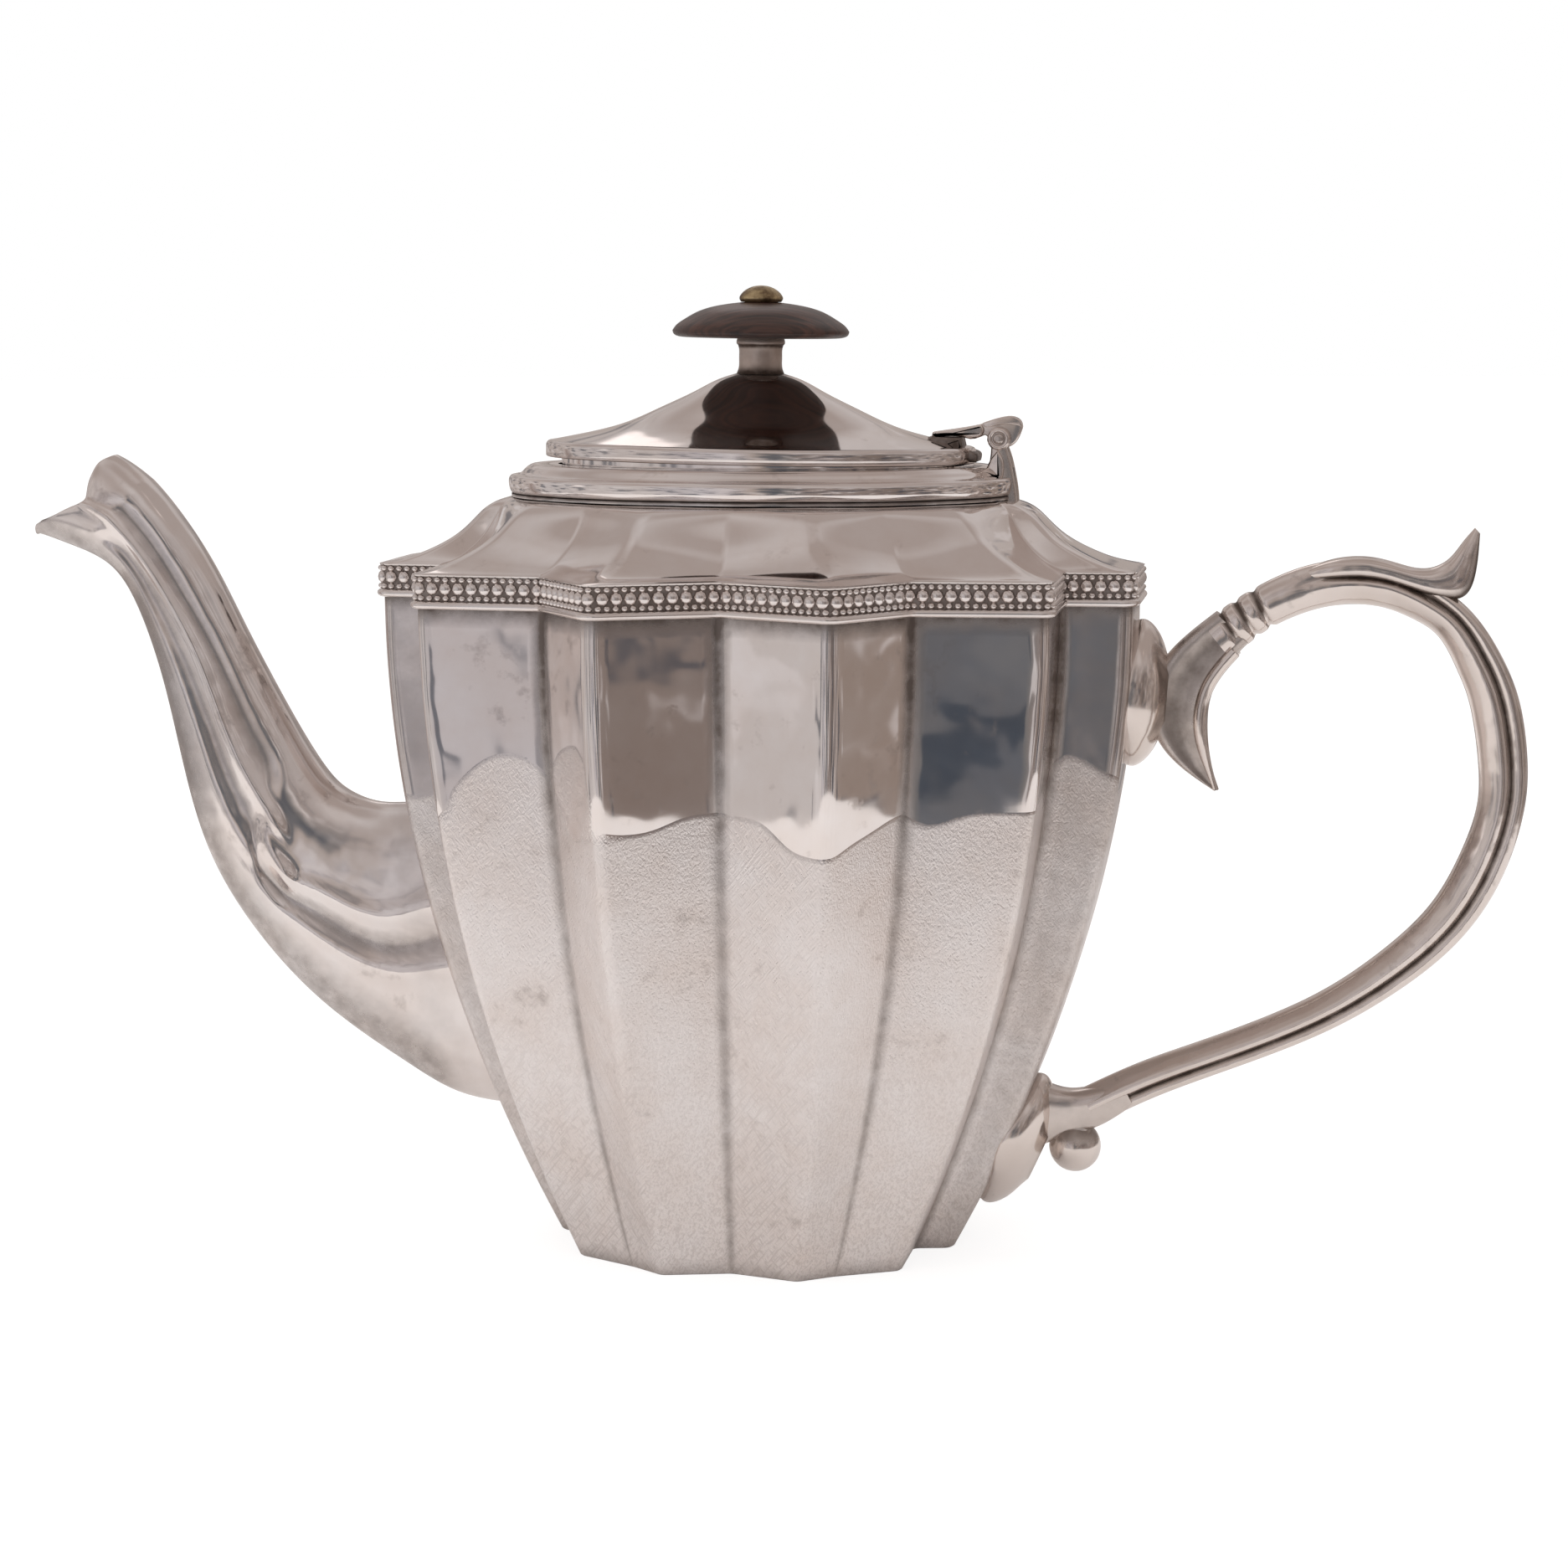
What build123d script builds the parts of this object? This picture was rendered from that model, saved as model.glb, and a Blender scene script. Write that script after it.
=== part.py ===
from build123d import *
import math
import os

# Silver-plated teapot: panelled body on a flat base, beaded border, domed cover,
# oval collar with a hinged lid, cast handle, and a spout soldered from two halves.
# Millimetres. Origin: centre of the base on the table. +X handle, -X spout, +Z up.

# ---- body --------------------------------------------------------------------
RIM_HEIGHT = 117.5            # top of the tapered wall, where the border starts
SHEET = 1.0                   # wall of the body
SOLDER_GAP = 0.04             # room left for solder between pieces of one body
BASE_SHEET = 1.4
END_REACH = 67.8              # from the middle to the end lobe at the rim
# Corners of a quarter of the plan, from the end lobe round to the front valley.
RIM_CORNERS = [(END_REACH, 10.5), (55.2, 11.0), (55.2, 32.0), (32.0, 33.6), (20.6, 48.6)]
RIM_VALLEY = 39.6             # half depth of the plan at its middle valley
FOOT_CORNERS = [(36.6, 8.0), (29.6, 9.4), (29.2, 23.5), (18.2, 29.0), (12.2, 33.2)]
FOOT_VALLEY = 30.2
CORNER_RADII = [2.2, 1.6, 1.8, 2.6, 2.4]
VALLEY_RADIUS = 3.0
RIDGE = [True, False, True, False, True]
BODY_LEVELS = [0.0, 0.09, 0.2, 0.36, 0.52, 0.68, 0.84, 1.0]
BLANK_PAST = 1.0              # how far the blank of the inside runs past the wall's ends

# ---- border ------------------------------------------------------------------
WIRE_HEIGHT = 1.5
WIRE_OVERHANG = 1.3
BEADING_HEIGHT = 4.3
BEADING_OVERHANG = 1.2

# ---- cover, collar and seat ----------------------------------------------------
COVER_HEIGHT = 12.3
COVER_SHEET = 0.7
COVER_LIP = 0.8               # how far the cover stands out over the beading
COVER_PROFILE = [(0.0, 0.0), (0.18, 0.07), (0.38, 0.22), (0.58, 0.45),
                 (0.72, 0.71), (0.85, 0.91), (1.0, 1.0)]   # (way in, way up)
COVER_POINTS = 41             # points on each quarter of the cover's outline
COLLAR_LENGTH = 89.8
COLLAR_WIDTH = 56.0
COLLAR_HEIGHT = 5.8
COLLAR_BULGE = [(0.0, 0.0), (0.14, 0.9), (0.4, 1.0), (0.68, -0.6), (0.89, -2.2), (1.0, -3.3)]
SEAT_INSET = 6.3              # from the collar's foot to the outside of the seat
SEAT_WALL = 1.7
SEAT_DROP = 2.2               # how far the seat hangs below the cover

# ---- lid -----------------------------------------------------------------------
LID_END_LEDGE = 5.9           # collar left showing beyond the lid at its ends
LID_SIDE_LEDGE = 4.4          # and at its sides
LID_SHEET = 0.9
LID_GAP = 0.3                 # air between the collar and the lid at the hinge end
LID_RIM = 2.9
LID_TILT = 0.8                # degrees that the lid stands open at the spout end
LID_RISE = 12.3
LID_EDGE_RADIUS = 0.9
LID_CONE = [(0.97, 0.0), (0.8, 0.1), (0.6, 0.25), (0.4, 0.49), (0.2, 0.76), (0.06, 0.95), (0.0, 1.0)]
BEZEL_CLEARANCE = 0.7
BEZEL_WALL = 0.8
BEZEL_DEPTH = 4.0

# ---- knob ------------------------------------------------------------------------
STEM_RADIUS = 4.3
STEM_HEIGHT = 6.4
STEM_WAIST = 0.2              # how far the stem draws in
STEM_FOOT = 1.6               # height of its foot
STEM_HEAD = 1.2               # depth of its head
STEM_BEAD = 0.8               # upright part of the head
DISC_RADIUS = 15.8
DISC_HEIGHT = 6.4
# Edge of the disc: (out from its radius, up from its underside).
DISC_UNDER = [(-2.2, 0.0), (-0.6, 0.25), (0.0, 1.1)]
DISC_DOME = [(0.0, 1.1), (-1.4, 2.7), (-4.424, 4.6), (-8.69, 5.9)]
CAP_RADIUS = 3.9
CAP_HEIGHT = 2.8
CAP_DOME = [(-0.3, 0.0), (0.0, 0.5), (-0.975, 1.9)]   # (out from its radius, up)
CAP_DEPTH = 1.68              # blind hole for the stud
STUD_RADIUS = 1.5
STUD_CLEARANCE = 0.05
STUD_TAIL = 0.8               # stud showing below the nut
NUT_RADIUS = 3.0
NUT_HEIGHT = 2.2

# ---- hinge -------------------------------------------------------------------------
HINGE_INSET = 1.6             # pin inside the end of the collar
HINGE_RISE = 1.6              # pin above the lid's upright rim
PIN_RADIUS = 1.0
PIN_RUNNING = 0.05            # radial clearance of the pin in the strap
PIN_FIXED = 0.02              # radial clearance of the pin in the post
KNUCKLE_RADIUS = 2.0
KNUCKLE_CLEARANCE = 0.1       # strap's knuckle smaller than the post's
POST_WIDTH = 5.6
STRAP_WIDTH = 2.4
STRAP_SIDE = 0.15             # air each side of the strap in the fork
SLOT_FLOOR = 5.2              # depth of the fork's slot below the pin
SLOT_LENGTH = 12.0            # cut right through the post
NOTCH_LENGTH = 20.0           # cut right through the collar's end
# Outline of the post: (from the pin, up from the cover), then (from the pin, up from the pin).
POST_FOOT = [(-1.4, -4.0), (3.5, -4.0), (3.3, 4.0)]
POST_NECK = [(1.9, -0.6), (-1.9, -0.6)]
POST_BACK = (-1.7, 6.4)       # (from the pin, up from the cover)
STRAP_HEEL = (-3.0, 0.8)      # (from the saddle's middle, thickness)
STRAP_TOE = (2.0, 1.6)
STRAP_HOOK = [(-2.2, 0.6), (2.4, -1.3), (4.0, 2.2), (3.3, 3.6), (1.5, 3.9), (-1.8, 2.9)]
ARM_WIDTH = 4.4
ARM_REACH = 20.0              # longest that the wide arm can be
ARM_CLEARANCE = 0.5           # between the wide arm and the fork
SADDLE_INSET = 4.6            # middle of the saddle inside the end of the lid
SADDLE_LENGTH = 7.4
SADDLE_WIDTH = 9.0
SADDLE_STEP = 2.0             # height of the lower step
SADDLE_LIFT = 0.4             # its underside above the lid's
STEP_SHIFT = 0.8              # lower step beyond the saddle's middle
STEP_LONGER = 1.4
HEAD_SHIFT = 0.7              # upper step short of the saddle's middle
HEAD_SHORTER = 1.6
HEAD_NARROWER = 2.0
HEAD_LIFT = 1.4               # its underside above the lid's
SADDLE_RISE = 1.7             # top of the upper step above the lid's upright rim

# ---- drawing that the spout and the handle are laid out on: they follow the body -----
DRAWN_REACH = 67.8            # end of the rim on that drawing
DRAWN_HEIGHT = 117.5          # its rim height
DRAWN_PAD_LOW = 19.4          # heights of its two handle pads
DRAWN_PAD_HIGH = 101.4

# ---- spout -------------------------------------------------------------------------
SPOUT_SHEET = 0.9
# Stations from inside the body to past the mouth: (upper edge), (lower edge), half width.
SPOUT_STATIONS = [
    ((-58.0, 78.6), (-42.0, 21.6), 8.0),
    ((-67.0, 78.3), (-56.0, 23.2), 8.2),
    ((-73.2, 78.4), (-67.5, 29.0), 8.4),
    ((-79.0, 80.7), (-83.0, 39.6), 8.4),
    ((-83.4, 85.2), (-96.4, 53.6), 8.2),
    ((-88.0, 92.6), (-105.4, 69.0), 7.6),
    ((-92.4, 100.6), (-110.2, 86.2), 6.8),
    ((-97.6, 110.6), (-113.6, 101.4), 6.2),
    ((-103.4, 122.0), (-118.0, 114.4), 6.0),
    ((-110.0, 132.0), (-123.0, 121.8), 6.2),
    ((-117.2, 139.8), (-130.0, 125.4), 6.4),
    ((-124.6, 143.6), (-138.2, 129.2), 6.6),
]
SPOUT_SECTION = [(1.0, 0.0), (0.88, 0.42), (0.62, 0.78), (0.28, 0.98), (-0.06, 0.94),
                 (-0.4, 0.92), (-0.72, 0.68), (-0.93, 0.34), (-1.0, 0.0)]
MOUTH_LINE = [(-121.4, 146.0), (-122.0, 141.8), (-124.4, 138.8), (-125.5, 133.2),
              (-129.0, 132.4), (-133.4, 131.0), (-137.6, 129.4)]
MOUTH_CLEAR = 14.0            # size of the waste cut away beyond the mouth line
STRAINER_HOLE = 1.5           # radius of each hole behind the spout
STRAINER_PITCH = 5.0
STRAINER_ROWS = 6
STRAINER_COLUMNS = 3
STRAINER_LOW = 38.0
STRAINER_DRILL = 6.0          # length drilled, through the wall from both sides

# ---- handle ------------------------------------------------------------------------
# Stations of the bar: (outer edge), (inner edge).
BAR_STATIONS = [
    ((79.6, 114.0), (84.8, 107.6)),
    ((86.2, 119.0), (90.2, 112.4)),
    ((94.6, 123.4), (96.8, 115.8)),
    ((103.0, 125.4), (103.2, 117.4)),
    ((112.0, 124.8), (110.2, 117.2)),
    ((119.8, 121.4), (116.2, 115.0)),
    ((126.2, 116.4), (120.6, 111.8)),
    ((131.2, 109.2), (123.8, 106.0)),
    ((134.8, 100.4), (126.2, 99.4)),
    ((136.4, 89.2), (127.8, 89.0)),
    ((135.6, 79.6), (127.4, 81.0)),
    ((132.0, 68.4), (124.4, 72.4)),
    ((124.8, 57.4), (119.0, 63.2)),
    ((114.0, 48.0), (109.4, 54.0)),
    ((100.8, 40.0), (97.6, 46.2)),
    ((84.8, 33.0), (82.0, 39.2)),
    ((72.6, 27.8), (69.6, 34.2)),
    ((62.6, 22.6), (58.8, 28.8)),
]
BAR_HALF_WIDTH = 3.3
BAR_STEPS = 6                 # spans of the curve on each side of the bar
BRACKET_LINE = [(71.0, 107.6), (73.6, 108.9), (79.6, 114.0), (84.6, 117.6), (88.4, 111.6),
                (84.4, 107.6), (81.2, 102.6), (80.1, 96.5), (80.8, 90.6), (82.7, 84.2),
                (77.4, 87.4), (71.8, 92.4), (70.0, 93.6)]
ROOT_LINE = [(52.0, 26.2), (56.0, 28.2), (61.2, 30.2), (64.6, 24.2), (61.6, 20.4), (57.4, 14.4),
             (52.0, 13.8), (48.6, 19.8)]
BRACKET_HALF_WIDTH = 3.6
SPUR_LINE = [(112.6, 124.2), (118.6, 124.0), (122.2, 126.4), (125.9, 131.1), (126.9, 129.8),
             (126.9, 125.0), (125.8, 120.6), (122.6, 117.2), (114.6, 119.0)]
SPUR_HALF_WIDTH = 2.6
BALL_CENTRE = (57.9, 18.1)
BALL_RADIUS = 4.7
UPPER_PAD_DROP = 16.1         # middle of the upper pad below the rim
LOWER_PAD_HEIGHT = 19.4
PAD_LENGTH = 26.4             # along the wall
PAD_WIDTH = 18.0
PAD_STAND = 6.2               # how far a pad stands off the wall
PAD_SINK = 6.0                # how far a pad's blank starts inside the wall
PAD_NECK = 0.62               # size of a pad's waist as a share of its foot
PAD_PROFILE = [(0.0, 1.0), (0.3, 0.98), (0.62, 0.86)]   # (way off the wall, size)
PAD_BLANK = 0.98              # size of the blank inside the wall
SLOPE_STEP = 5.0              # height to each side over which a pad reads the wall's slope

COVER_BASE = RIM_HEIGHT + WIRE_HEIGHT + BEADING_HEIGHT
COVER_TOP = COVER_BASE + COVER_HEIGHT
COLLAR_TOP = COVER_TOP + COLLAR_HEIGHT
LID_BOTTOM = COLLAR_TOP + LID_GAP
LID_TOP = LID_BOTTOM + LID_RIM + LID_RISE
LID_LENGTH = COLLAR_LENGTH - 2 * LID_END_LEDGE
LID_WIDTH = COLLAR_WIDTH - 2 * LID_SIDE_LEDGE
HINGE_X = COLLAR_LENGTH / 2 - HINGE_INSET
HINGE_Z = LID_BOTTOM + LID_RIM + HINGE_RISE
SADDLE_X = LID_LENGTH / 2 - SADDLE_INSET
SADDLE_TOP = LID_RIM + SADDLE_RISE
UPPER_PAD_HEIGHT = RIM_HEIGHT - UPPER_PAD_DROP
HINGE_AXIS = Axis((HINGE_X, 0, HINGE_Z), (0, 1, 0))


def whole_plan(quarter, valley):
    """Mirror a quarter of the plan into the closed loop of 22 corners."""
    right_back = list(quarter)
    left_back = [(-x, y) for x, y in reversed(quarter)]
    left_front = [(-x, -y) for x, y in quarter]
    right_front = [(x, -y) for x, y in reversed(quarter)]
    return right_back + [(0.0, valley)] + left_back + left_front + [(0.0, -valley)] + right_front


def plan_radii(inset):
    """Corner radii of the plan: ridges shrink and valleys grow as it is inset."""
    quarter = [r - inset if ridge else r + inset for r, ridge in zip(CORNER_RADII, RIDGE)]
    valley = VALLEY_RADIUS + inset
    return quarter + [valley] + quarter[::-1] + quarter + [valley] + quarter[::-1]


def inset_corners(corners, inset):
    """Move each side of a counter-clockwise loop inwards and meet the sides again."""
    moved = []
    count = len(corners)
    for i in range(count):
        here = Vector(*corners[i])
        before = (here - Vector(*corners[i - 1])).normalized()
        after = (Vector(*corners[(i + 1) % count]) - here).normalized()
        normal_before = Vector(-before.Y, before.X)
        normal_after = Vector(-after.Y, after.X)
        share = inset / (1.0 + normal_before.dot(normal_after))
        point = here + (normal_before + normal_after) * share
        moved.append((point.X, point.Y))
    return moved


def rounded_loop(corners, radii, z):
    """Closed wire of straight runs joined by tangent arcs, at height z."""
    arcs = []
    count = len(corners)
    for i in range(count):
        corner = Vector(*corners[i])
        before = (Vector(*corners[i - 1]) - corner).normalized()
        after = (Vector(*corners[(i + 1) % count]) - corner).normalized()
        half = math.radians(before.get_angle(after)) / 2
        inward = (before + after).normalized()
        setback = radii[i] / math.tan(half)
        start = corner + before * setback
        end = corner + after * setback
        middle = corner + inward * (radii[i] / math.sin(half) - radii[i])
        arcs.append([Vector(p.X, p.Y, z) for p in (start, middle, end)])
    edges = []
    for i, (start, middle, end) in enumerate(arcs):
        edges.append(ThreePointArc(start, middle, end))
        edges.append(Line(end, arcs[(i + 1) % count][0]))
    return Wire(edges)


def opened_share(z):
    """How far the foot plan has opened to the rim plan at height z, from 0 to 1."""
    way = min(z / RIM_HEIGHT, 1.0)
    return 1.0 - (1.0 - way) ** 2


def body_loop(z, inset=0.0):
    """Outline of the body at height z: the foot plan opens to the rim plan on a parabola."""
    opened = opened_share(z)
    foot = whole_plan(FOOT_CORNERS, FOOT_VALLEY)
    rim = whole_plan(RIM_CORNERS, RIM_VALLEY)
    corners = [(fx + (rx - fx) * opened, fy + (ry - fy) * opened)
               for (fx, fy), (rx, ry) in zip(foot, rim)]
    return rounded_loop(inset_corners(corners, inset), plan_radii(inset), z)


def ring(outer, inner, height):
    """Straight ring between two flat closed wires."""
    return extrude(Face(outer, [inner]), height, dir=(0, 0, 1))


def oval(length, width, z, grow=0.0):
    """Elliptical wire at height z, grown evenly all round."""
    return Wire([Edge.make_ellipse(length / 2 + grow, width / 2 + grow, Plane.XY.offset(z))])


def body_blank(inset=0.0, below=0.0, above=0.0):
    """Solid body shape, run past its foot and rim where asked."""
    levels = [level * RIM_HEIGHT for level in BODY_LEVELS]
    if below:
        levels[0] = -below
    sections = [Face(body_loop(z, inset)) for z in levels]
    sections.append(Face(body_loop(COVER_BASE + above, inset)))
    return loft(sections)


def end_wall(z):
    """Half length of the body at its end lobes at height z."""
    return FOOT_CORNERS[0][0] + (END_REACH - FOOT_CORNERS[0][0]) * opened_share(z)


def make_body_shell(blank):
    """Tapered sheet wall with the strainer pierced behind the spout."""
    shell = blank - body_blank(SHEET, BLANK_PAST, BLANK_PAST)
    for row in range(STRAINER_ROWS):
        for column in range(STRAINER_COLUMNS):
            y = (column - (STRAINER_COLUMNS - 1) / 2) * STRAINER_PITCH
            z = STRAINER_LOW + row * STRAINER_PITCH
            drill = Plane(origin=(-end_wall(z) - STRAINER_DRILL / 2, y, z), z_dir=(1, 0, 0))
            shell -= extrude(drill * Circle(STRAINER_HOLE), STRAINER_DRILL)
    return shell


def make_base_plate():
    """Flat bottom soldered inside the foot of the wall."""
    return extrude(Face(body_loop(0.0, SHEET + SOLDER_GAP)), BASE_SHEET)


def make_border_wire():
    """Plain wire under the beading, round the outside of the wall."""
    outer = body_loop(RIM_HEIGHT, -WIRE_OVERHANG)
    return ring(outer, body_loop(RIM_HEIGHT, -SOLDER_GAP), WIRE_HEIGHT)


def make_bead_border():
    """Strip that carries the three rows of beads, round the outside of the wall."""
    strip = ring(body_loop(RIM_HEIGHT, -BEADING_OVERHANG), body_loop(RIM_HEIGHT, -SOLDER_GAP),
                 BEADING_HEIGHT)
    return strip.moved(Location((0, 0, WIRE_HEIGHT)))


def cover_section(share, z, inset):
    """Outline part of the way from the rim plan to the collar's oval, as four quarter curves."""
    loop = body_loop(RIM_HEIGHT, inset - COVER_LIP)
    half_length = RIM_CORNERS[0][0]
    half_width = RIM_CORNERS[4][1]
    last = COVER_POINTS - 1
    start = loop.position_at(0).Y / loop.length
    quarter = []
    for i in range(COVER_POINTS):
        rim = loop.position_at((0.25 * i / last - start) % 1.0)
        turn = math.atan2(rim.Y / half_width, rim.X / half_length)
        oval_x = (COLLAR_LENGTH / 2 - inset) * math.cos(turn)
        oval_y = (COLLAR_WIDTH / 2 - inset) * math.sin(turn)
        quarter.append((rim.X + (oval_x - rim.X) * share, rim.Y + (oval_y - rim.Y) * share))
    pace = [i / last for i in range(COVER_POINTS)]
    edges = []
    for side_x, side_y in [(1, 1), (-1, 1), (-1, -1), (1, -1)]:
        points = [Vector(side_x * x, side_y * y, z) for x, y in quarter]
        tangents = [Vector(0, side_y, 0), Vector(-side_x, 0, 0)]
        if side_x != side_y:
            points = points[::-1]
            tangents = [Vector(-1 * t.X, -1 * t.Y, 0) for t in reversed(tangents)]
        edges.append(Edge.make_spline(points, tangents=tangents, parameters=pace))
    return Wire(edges)


def cover_blank(inset=0.0):
    """Solid domed cover, lowered and drawn in by the inset."""
    return Part() + Solid.make_loft([cover_section(share, COVER_BASE - inset + rise * COVER_HEIGHT, inset)
                                     for share, rise in COVER_PROFILE])


def make_shoulder_cover(blank):
    """Sheet cover from the scalloped border up to the collar, open at the neck."""
    neck = oval(COLLAR_LENGTH, COLLAR_WIDTH, COVER_BASE, SOLDER_GAP - SEAT_INSET)
    return blank - cover_blank(COVER_SHEET) - extrude(Face(neck), 2 * COVER_HEIGHT)


def make_hinge_post(blank):
    """Fork that stands on the cover at the end of the collar and holds the pin."""
    foot = [(HINGE_X + x, COVER_TOP + z) for x, z in POST_FOOT]
    neck = [(HINGE_X + x, HINGE_Z + z) for x, z in POST_NECK]
    back = (HINGE_X + POST_BACK[0], COVER_TOP + POST_BACK[1])
    profile = Polyline(*foot, *neck, back, close=True)
    face = Plane.XZ * make_face(profile) + Plane.XZ * Location((HINGE_X, HINGE_Z)) * Circle(KNUCKLE_RADIUS)
    post = extrude(face, POST_WIDTH / 2, both=True)
    slot = STRAP_WIDTH + 2 * STRAP_SIDE
    post -= Location((HINGE_X, 0, HINGE_Z)) * Box(SLOT_LENGTH, slot, 2 * SLOT_FLOOR)
    return post - pin_hole(PIN_FIXED) - blank


def pin_hole(clearance):
    """Round bar along the hinge axis, grown by a clearance."""
    return Location((HINGE_X, 0, HINGE_Z), (90, 0, 0)) * Cylinder(PIN_RADIUS + clearance, POST_WIDTH)


def make_neck_collar():
    """Rounded oval moulding round the neck, notched for the hinge post."""
    blank = loft([Face(oval(COLLAR_LENGTH, COLLAR_WIDTH, COVER_TOP + rise * COLLAR_HEIGHT, grow))
                  for rise, grow in COLLAR_BULGE])
    hole = oval(COLLAR_LENGTH, COLLAR_WIDTH, COVER_TOP, SOLDER_GAP - SEAT_INSET)
    notch_x = HINGE_X + POST_BACK[0] - SOLDER_GAP + NOTCH_LENGTH / 2
    notch = Box(NOTCH_LENGTH, POST_WIDTH + 2 * SOLDER_GAP, 4 * COLLAR_HEIGHT)
    return blank - extrude(Face(hole), COLLAR_HEIGHT) - Location((notch_x, 0, COVER_TOP)) * notch


def make_lid_seat():
    """Upright oval ring in the neck that the lid's bezel drops into."""
    low = COVER_TOP - SEAT_DROP
    outer = oval(COLLAR_LENGTH, COLLAR_WIDTH, low, -SEAT_INSET)
    inner = oval(COLLAR_LENGTH, COLLAR_WIDTH, low, -SEAT_INSET - SEAT_WALL)
    return ring(outer, inner, SEAT_DROP + COLLAR_HEIGHT)


def lid_oval(share, z, inset=0.0):
    """Oval of the lid between its round top (share 0) and its rim (share 1)."""
    half_length = STEM_RADIUS + (LID_LENGTH / 2 - STEM_RADIUS) * share - inset
    half_width = STEM_RADIUS + (LID_WIDTH / 2 - STEM_RADIUS) * share - inset
    return Face(Wire([Edge.make_ellipse(half_length, half_width, Plane.XY.offset(z))]))


def lid_blank(inset=0.0):
    """Solid lid: a low upright rim under a hollow-sided oval cone."""
    shoulder = LID_BOTTOM + LID_RIM - inset
    rim = extrude(lid_oval(1.0, LID_BOTTOM - inset, inset), LID_RIM)
    if not inset:
        rim = fillet(rim.edges().group_by(Axis.Z)[-1], LID_EDGE_RADIUS)
    cone = loft([lid_oval(share, shoulder + rise * LID_RISE, inset) for share, rise in LID_CONE])
    return rim + cone


def saddle_blank(grow=0.0):
    """Two-step block at the hinge end of the lid."""
    lower = Location((SADDLE_X + STEP_SHIFT, 0, LID_BOTTOM + SADDLE_LIFT + SADDLE_STEP / 2))
    upper = Location((SADDLE_X - HEAD_SHIFT, 0, LID_BOTTOM + (SADDLE_TOP + HEAD_LIFT) / 2))
    more = 2 * grow
    low = Box(SADDLE_LENGTH + STEP_LONGER + more, SADDLE_WIDTH + more, SADDLE_STEP + more)
    high = Box(SADDLE_LENGTH - HEAD_SHORTER + more, SADDLE_WIDTH - HEAD_NARROWER + more,
               SADDLE_TOP - HEAD_LIFT + more)
    return lower * low + upper * high


def make_lid_shell():
    """Sheet lid, let in for the saddle and pierced for the knob's stud."""
    shell = lid_blank() - lid_blank(LID_SHEET)
    shell -= saddle_blank(SOLDER_GAP)
    return shell - Location((0, 0, LID_TOP)) * Cylinder(STUD_RADIUS + STUD_CLEARANCE, STEM_HEIGHT)


def make_lid_bezel():
    """Flange under the lid with the upright wall that locates it in the seat."""
    seat_inner = -SEAT_INSET - SEAT_WALL
    wall_outer = seat_inner - BEZEL_CLEARANCE
    low = LID_BOTTOM - BEZEL_DEPTH
    outer = oval(COLLAR_LENGTH, COLLAR_WIDTH, low, wall_outer)
    inner = oval(COLLAR_LENGTH, COLLAR_WIDTH, low, wall_outer - BEZEL_WALL)
    wall = ring(outer, inner, BEZEL_DEPTH)
    flange_outer = oval(LID_LENGTH, LID_WIDTH, LID_BOTTOM, -LID_SHEET - SOLDER_GAP)
    flange_inner = oval(COLLAR_LENGTH, COLLAR_WIDTH, LID_BOTTOM, wall_outer - BEZEL_WALL)
    flange = ring(flange_outer, flange_inner, BEZEL_WALL)
    return wall + flange - saddle_blank(SOLDER_GAP)


def make_strap():
    """Bent arm from the saddle to the knuckle, ending in a short hooked tail."""
    top = LID_BOTTOM + SADDLE_TOP
    heel = SADDLE_X + STRAP_HEEL[0]
    toe = SADDLE_X + STRAP_TOE[0]
    hook = [(HINGE_X + x, HINGE_Z + z) for x, z in STRAP_HOOK]
    back = [(toe, top + STRAP_TOE[1]), (heel, top + STRAP_HEEL[1])]
    line = Polyline((heel, top), (toe, top), *hook, *back, close=True)
    profile = Plane.XZ * make_face(line)
    knuckle = Plane.XZ * Location((HINGE_X, HINGE_Z)) * Circle(KNUCKLE_RADIUS - KNUCKLE_CLEARANCE)
    strap = extrude(profile + knuckle, STRAP_WIDTH / 2, both=True)
    arm_end = HINGE_X - KNUCKLE_RADIUS - ARM_CLEARANCE
    arm_room = Location((arm_end - ARM_REACH / 2, 0, HINGE_Z)) * Box(ARM_REACH, ARM_REACH, ARM_REACH)
    strap += extrude(profile, ARM_WIDTH / 2, both=True) & arm_room
    return strap - pin_hole(PIN_RUNNING)


def make_stem():
    """Short silver neck of the knob, flared where it meets the lid."""
    low = LID_TOP
    high = low + STEM_HEIGHT
    bore = STUD_RADIUS + STUD_CLEARANCE
    line = Polyline((bore, low), (STEM_RADIUS, low), (STEM_RADIUS - STEM_WAIST / 2, low + STEM_FOOT),
                    (STEM_RADIUS - STEM_WAIST, high - STEM_HEAD), (STEM_RADIUS, high - STEM_BEAD),
                    (STEM_RADIUS, high), (bore, high), close=True)
    return revolve(Plane.XZ * make_face(line), Axis.Z)


def make_disc():
    """Turned wooden disc, flat below and domed above."""
    low = LID_TOP + STEM_HEIGHT
    bore = STUD_RADIUS + STUD_CLEARANCE
    under = [(DISC_RADIUS + out, low + up) for out, up in DISC_UNDER]
    over = [(DISC_RADIUS + out, low + up) for out, up in DISC_DOME]
    outline = [Line((bore, low + DISC_HEIGHT), (bore, low)), Line((bore, low), under[0]), Spline(*under),
               Spline(*over, (bore, low + DISC_HEIGHT))]
    return revolve(Plane.XZ * make_face(Curve() + outline), Axis.Z)


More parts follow.
